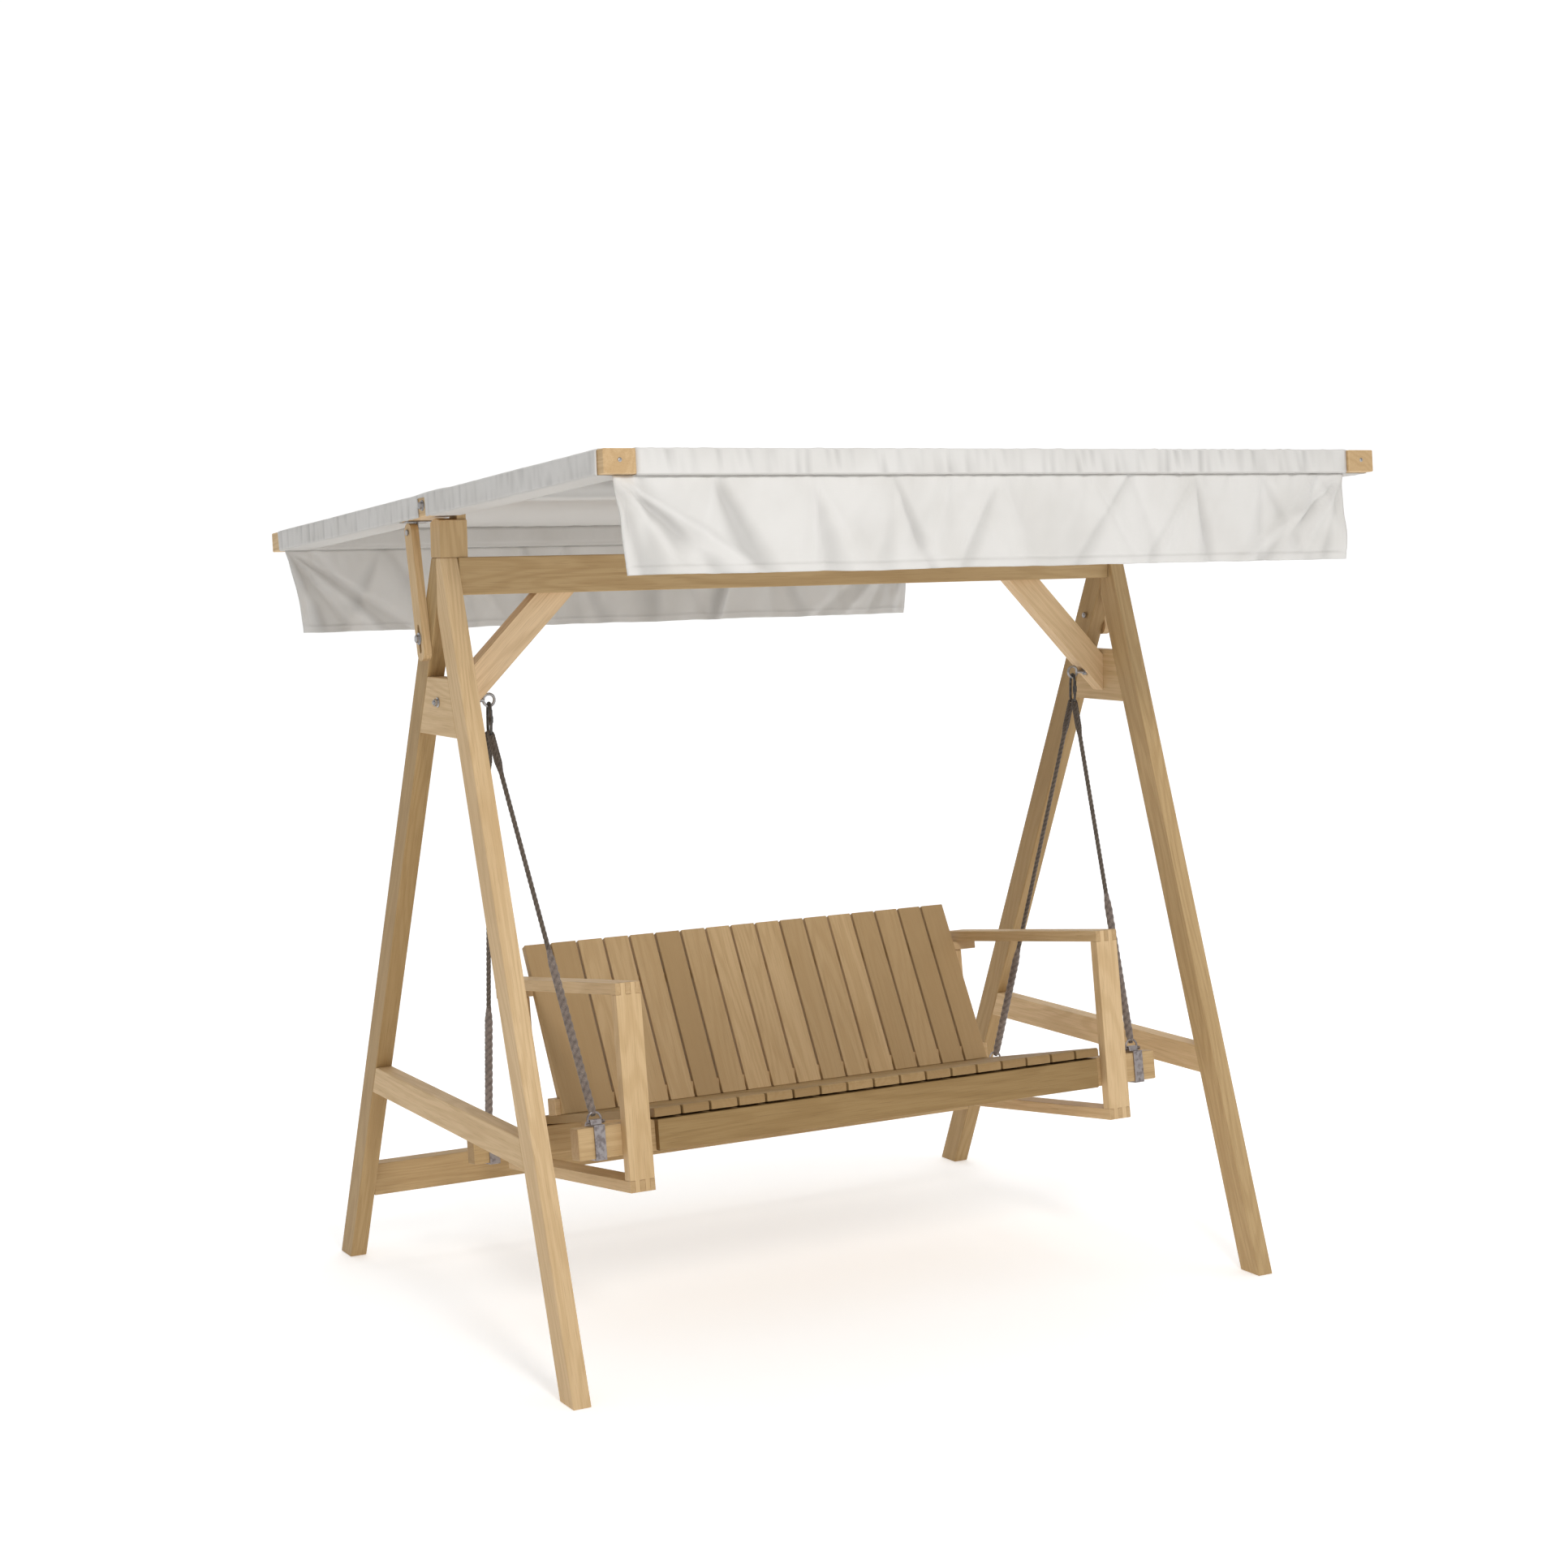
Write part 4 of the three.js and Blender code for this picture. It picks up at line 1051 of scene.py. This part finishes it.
TURNED_SIDES = 20
FACING = {
    "-Y": Matrix.Rotation(math.pi / 2, 4, "X"),
    "Y": Matrix.Rotation(-math.pi / 2, 4, "X"),
    "-X": Matrix.Rotation(-math.pi / 2, 4, "Y"),
    "X": Matrix.Rotation(math.pi / 2, 4, "Y"),
}
RAIL_ENDS = (-1.0099, 1.1399)  # of the side rails, in the canopy's frame
KNOB_X = 0.7279
KNOB_AT = (0.705, 0.454)  # y and z in the seat's frame, on the end of the upper rail


def turned(name, profile, place, shader, body, frame_of, axis):
    """A small turned head facing axis: profile is (radius, height) from its rim to its crown."""
    sides = TURNED_SIDES
    verts, faces = [], []
    for radius, height in profile:
        for k in range(sides):
            angle = 2 * math.pi * k / sides
            verts.append(Vector((radius * math.cos(angle), radius * math.sin(angle), height)))
    for r in range(len(profile) - 1):
        for k in range(sides):
            a, b = r * sides, (r + 1) * sides
            faces.append((a + k, a + (k + 1) % sides, b + (k + 1) % sides, b + k))
    faces.append(tuple((len(profile) - 1) * sides + k for k in range(sides)))
    faces.append(tuple(reversed(range(sides))))
    obj = made(name, verts, faces)
    obj.data.set_sharp_from_angle(angle=SHARP_OVER)
    obj.matrix_world = frame_of @ Matrix.Translation(place) @ FACING[axis]
    add(obj, shader, body)


SCREW = [
    (0.0048, 0.0),
    (0.0048, 0.0004),
    (0.0042, 0.0011),
    (0.0024, 0.0016),
    (0.0023, 0.0007),
    (0.0006, 0.0006),
]
KNOB = [
    (0.0065, 0.0),
    (0.0080, 0.0012),
    (0.0082, 0.0040),
    (0.0068, 0.0064),
    (0.0036, 0.0076),
    (0.0008, 0.0079),
]
for hand, side in HANDS:
    middle = side * (SIDE_IN + SIDE_OUT) / 2
    outward = "-X" if side < 0 else "X"
    turned("rail_screw_front_" + hand, SCREW, (middle, RAIL_ENDS[0], 0.002), ZINC, "canopy", CANOPY, "-Y")
    turned("rail_screw_rear_" + hand, SCREW, (middle, RAIL_ENDS[1], 0.002), ZINC, "canopy", CANOPY, "Y")
    turned("rail_knob_" + hand, KNOB, (side * KNOB_X, *KNOB_AT), DARK, "seat", SEAT, outward)

# ---- Floor, backdrop and light -------------------------------------------------------------------

FLOOR_HALF = 14.0
BEND_FROM = 5.0
BEND_R = 4.0
WALL_HIGH = 12.0
BELOW_FEET = 0.0005
sweep = [(-FLOOR_HALF, 0.0), (BEND_FROM, 0.0)]
for i in range(1, 17):
    turn = math.pi / 2 * i / 16
    sweep.append((BEND_FROM + BEND_R * math.sin(turn), BEND_R - BEND_R * math.cos(turn)))
sweep.append((BEND_FROM + BEND_R, WALL_HIGH))
turn_floor = Matrix.Rotation(-YAW, 4, "Z")
rows = [[turn_floor @ Vector((x, y, z - BELOW_FEET)) for x in (-FLOOR_HALF, FLOOR_HALF)] for y, z in sweep]
floor = made("floor", *grid(rows))
pale = Shader("floor", None, 0.9)
cloud = pale.between(pale.noise(pale.place(), 0.5), 0.3, 0.8)
pale.coloured(pale.mix(cloud, (0.90, 0.90, 0.90), (0.88, 0.88, 0.88)))
pale.bsdf.inputs["Emission Color"].default_value = (1, 1, 1, 1)
pale.bsdf.inputs["Emission Strength"].default_value = 0.40
floor.data.materials.append(pale.mat)
floor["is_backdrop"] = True

world = bpy.data.worlds.new("studio")
bpy.context.scene.world = world
world.use_nodes = True
tree = world.node_tree
ambient = tree.nodes["Background"]
ambient.inputs["Color"].default_value = (1.0, 1.0, 1.0, 1)
ambient.inputs["Strength"].default_value = 0.49
backdrop = tree.nodes.new("ShaderNodeBackground")  # what the camera sees: white, with no more light
backdrop.inputs["Color"].default_value = (1.0, 1.0, 1.0, 1)
backdrop.inputs["Strength"].default_value = 1.0
ray = tree.nodes.new("ShaderNodeLightPath")
either = tree.nodes.new("ShaderNodeMixShader")
tree.links.new(ray.outputs["Is Camera Ray"], either.inputs["Fac"])
tree.links.new(ambient.outputs["Background"], either.inputs[1])
tree.links.new(backdrop.outputs["Background"], either.inputs[2])
tree.links.new(either.outputs["Shader"], tree.nodes["World Output"].inputs["Surface"])


def lamp(name, place, target, size, power, colour=(1, 1, 1)):
    data = bpy.data.lights.new(name, "AREA")
    data.shape = "DISK"
    data.size = size
    data.energy = power
    data.color = colour
    obj = bpy.data.objects.new(name, data)
    bpy.context.scene.collection.objects.link(obj)
    obj.location = place
    obj.rotation_euler = (Vector(target) - Vector(place)).to_track_quat("-Z", "Y").to_euler()


lamp("key", (-1.3, -5.2, 4.0), (-0.3, 0, 1.0), 1.3, 112, (1.0, 0.99, 0.975))
lamp("fill", (6.5, -3.5, 2.5), (0, 0, 1.2), 4.0, 40)
lamp("top", (0.5, 1.0, 7.5), (0, 0, 1.0), 5.0, 130)

low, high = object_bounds()
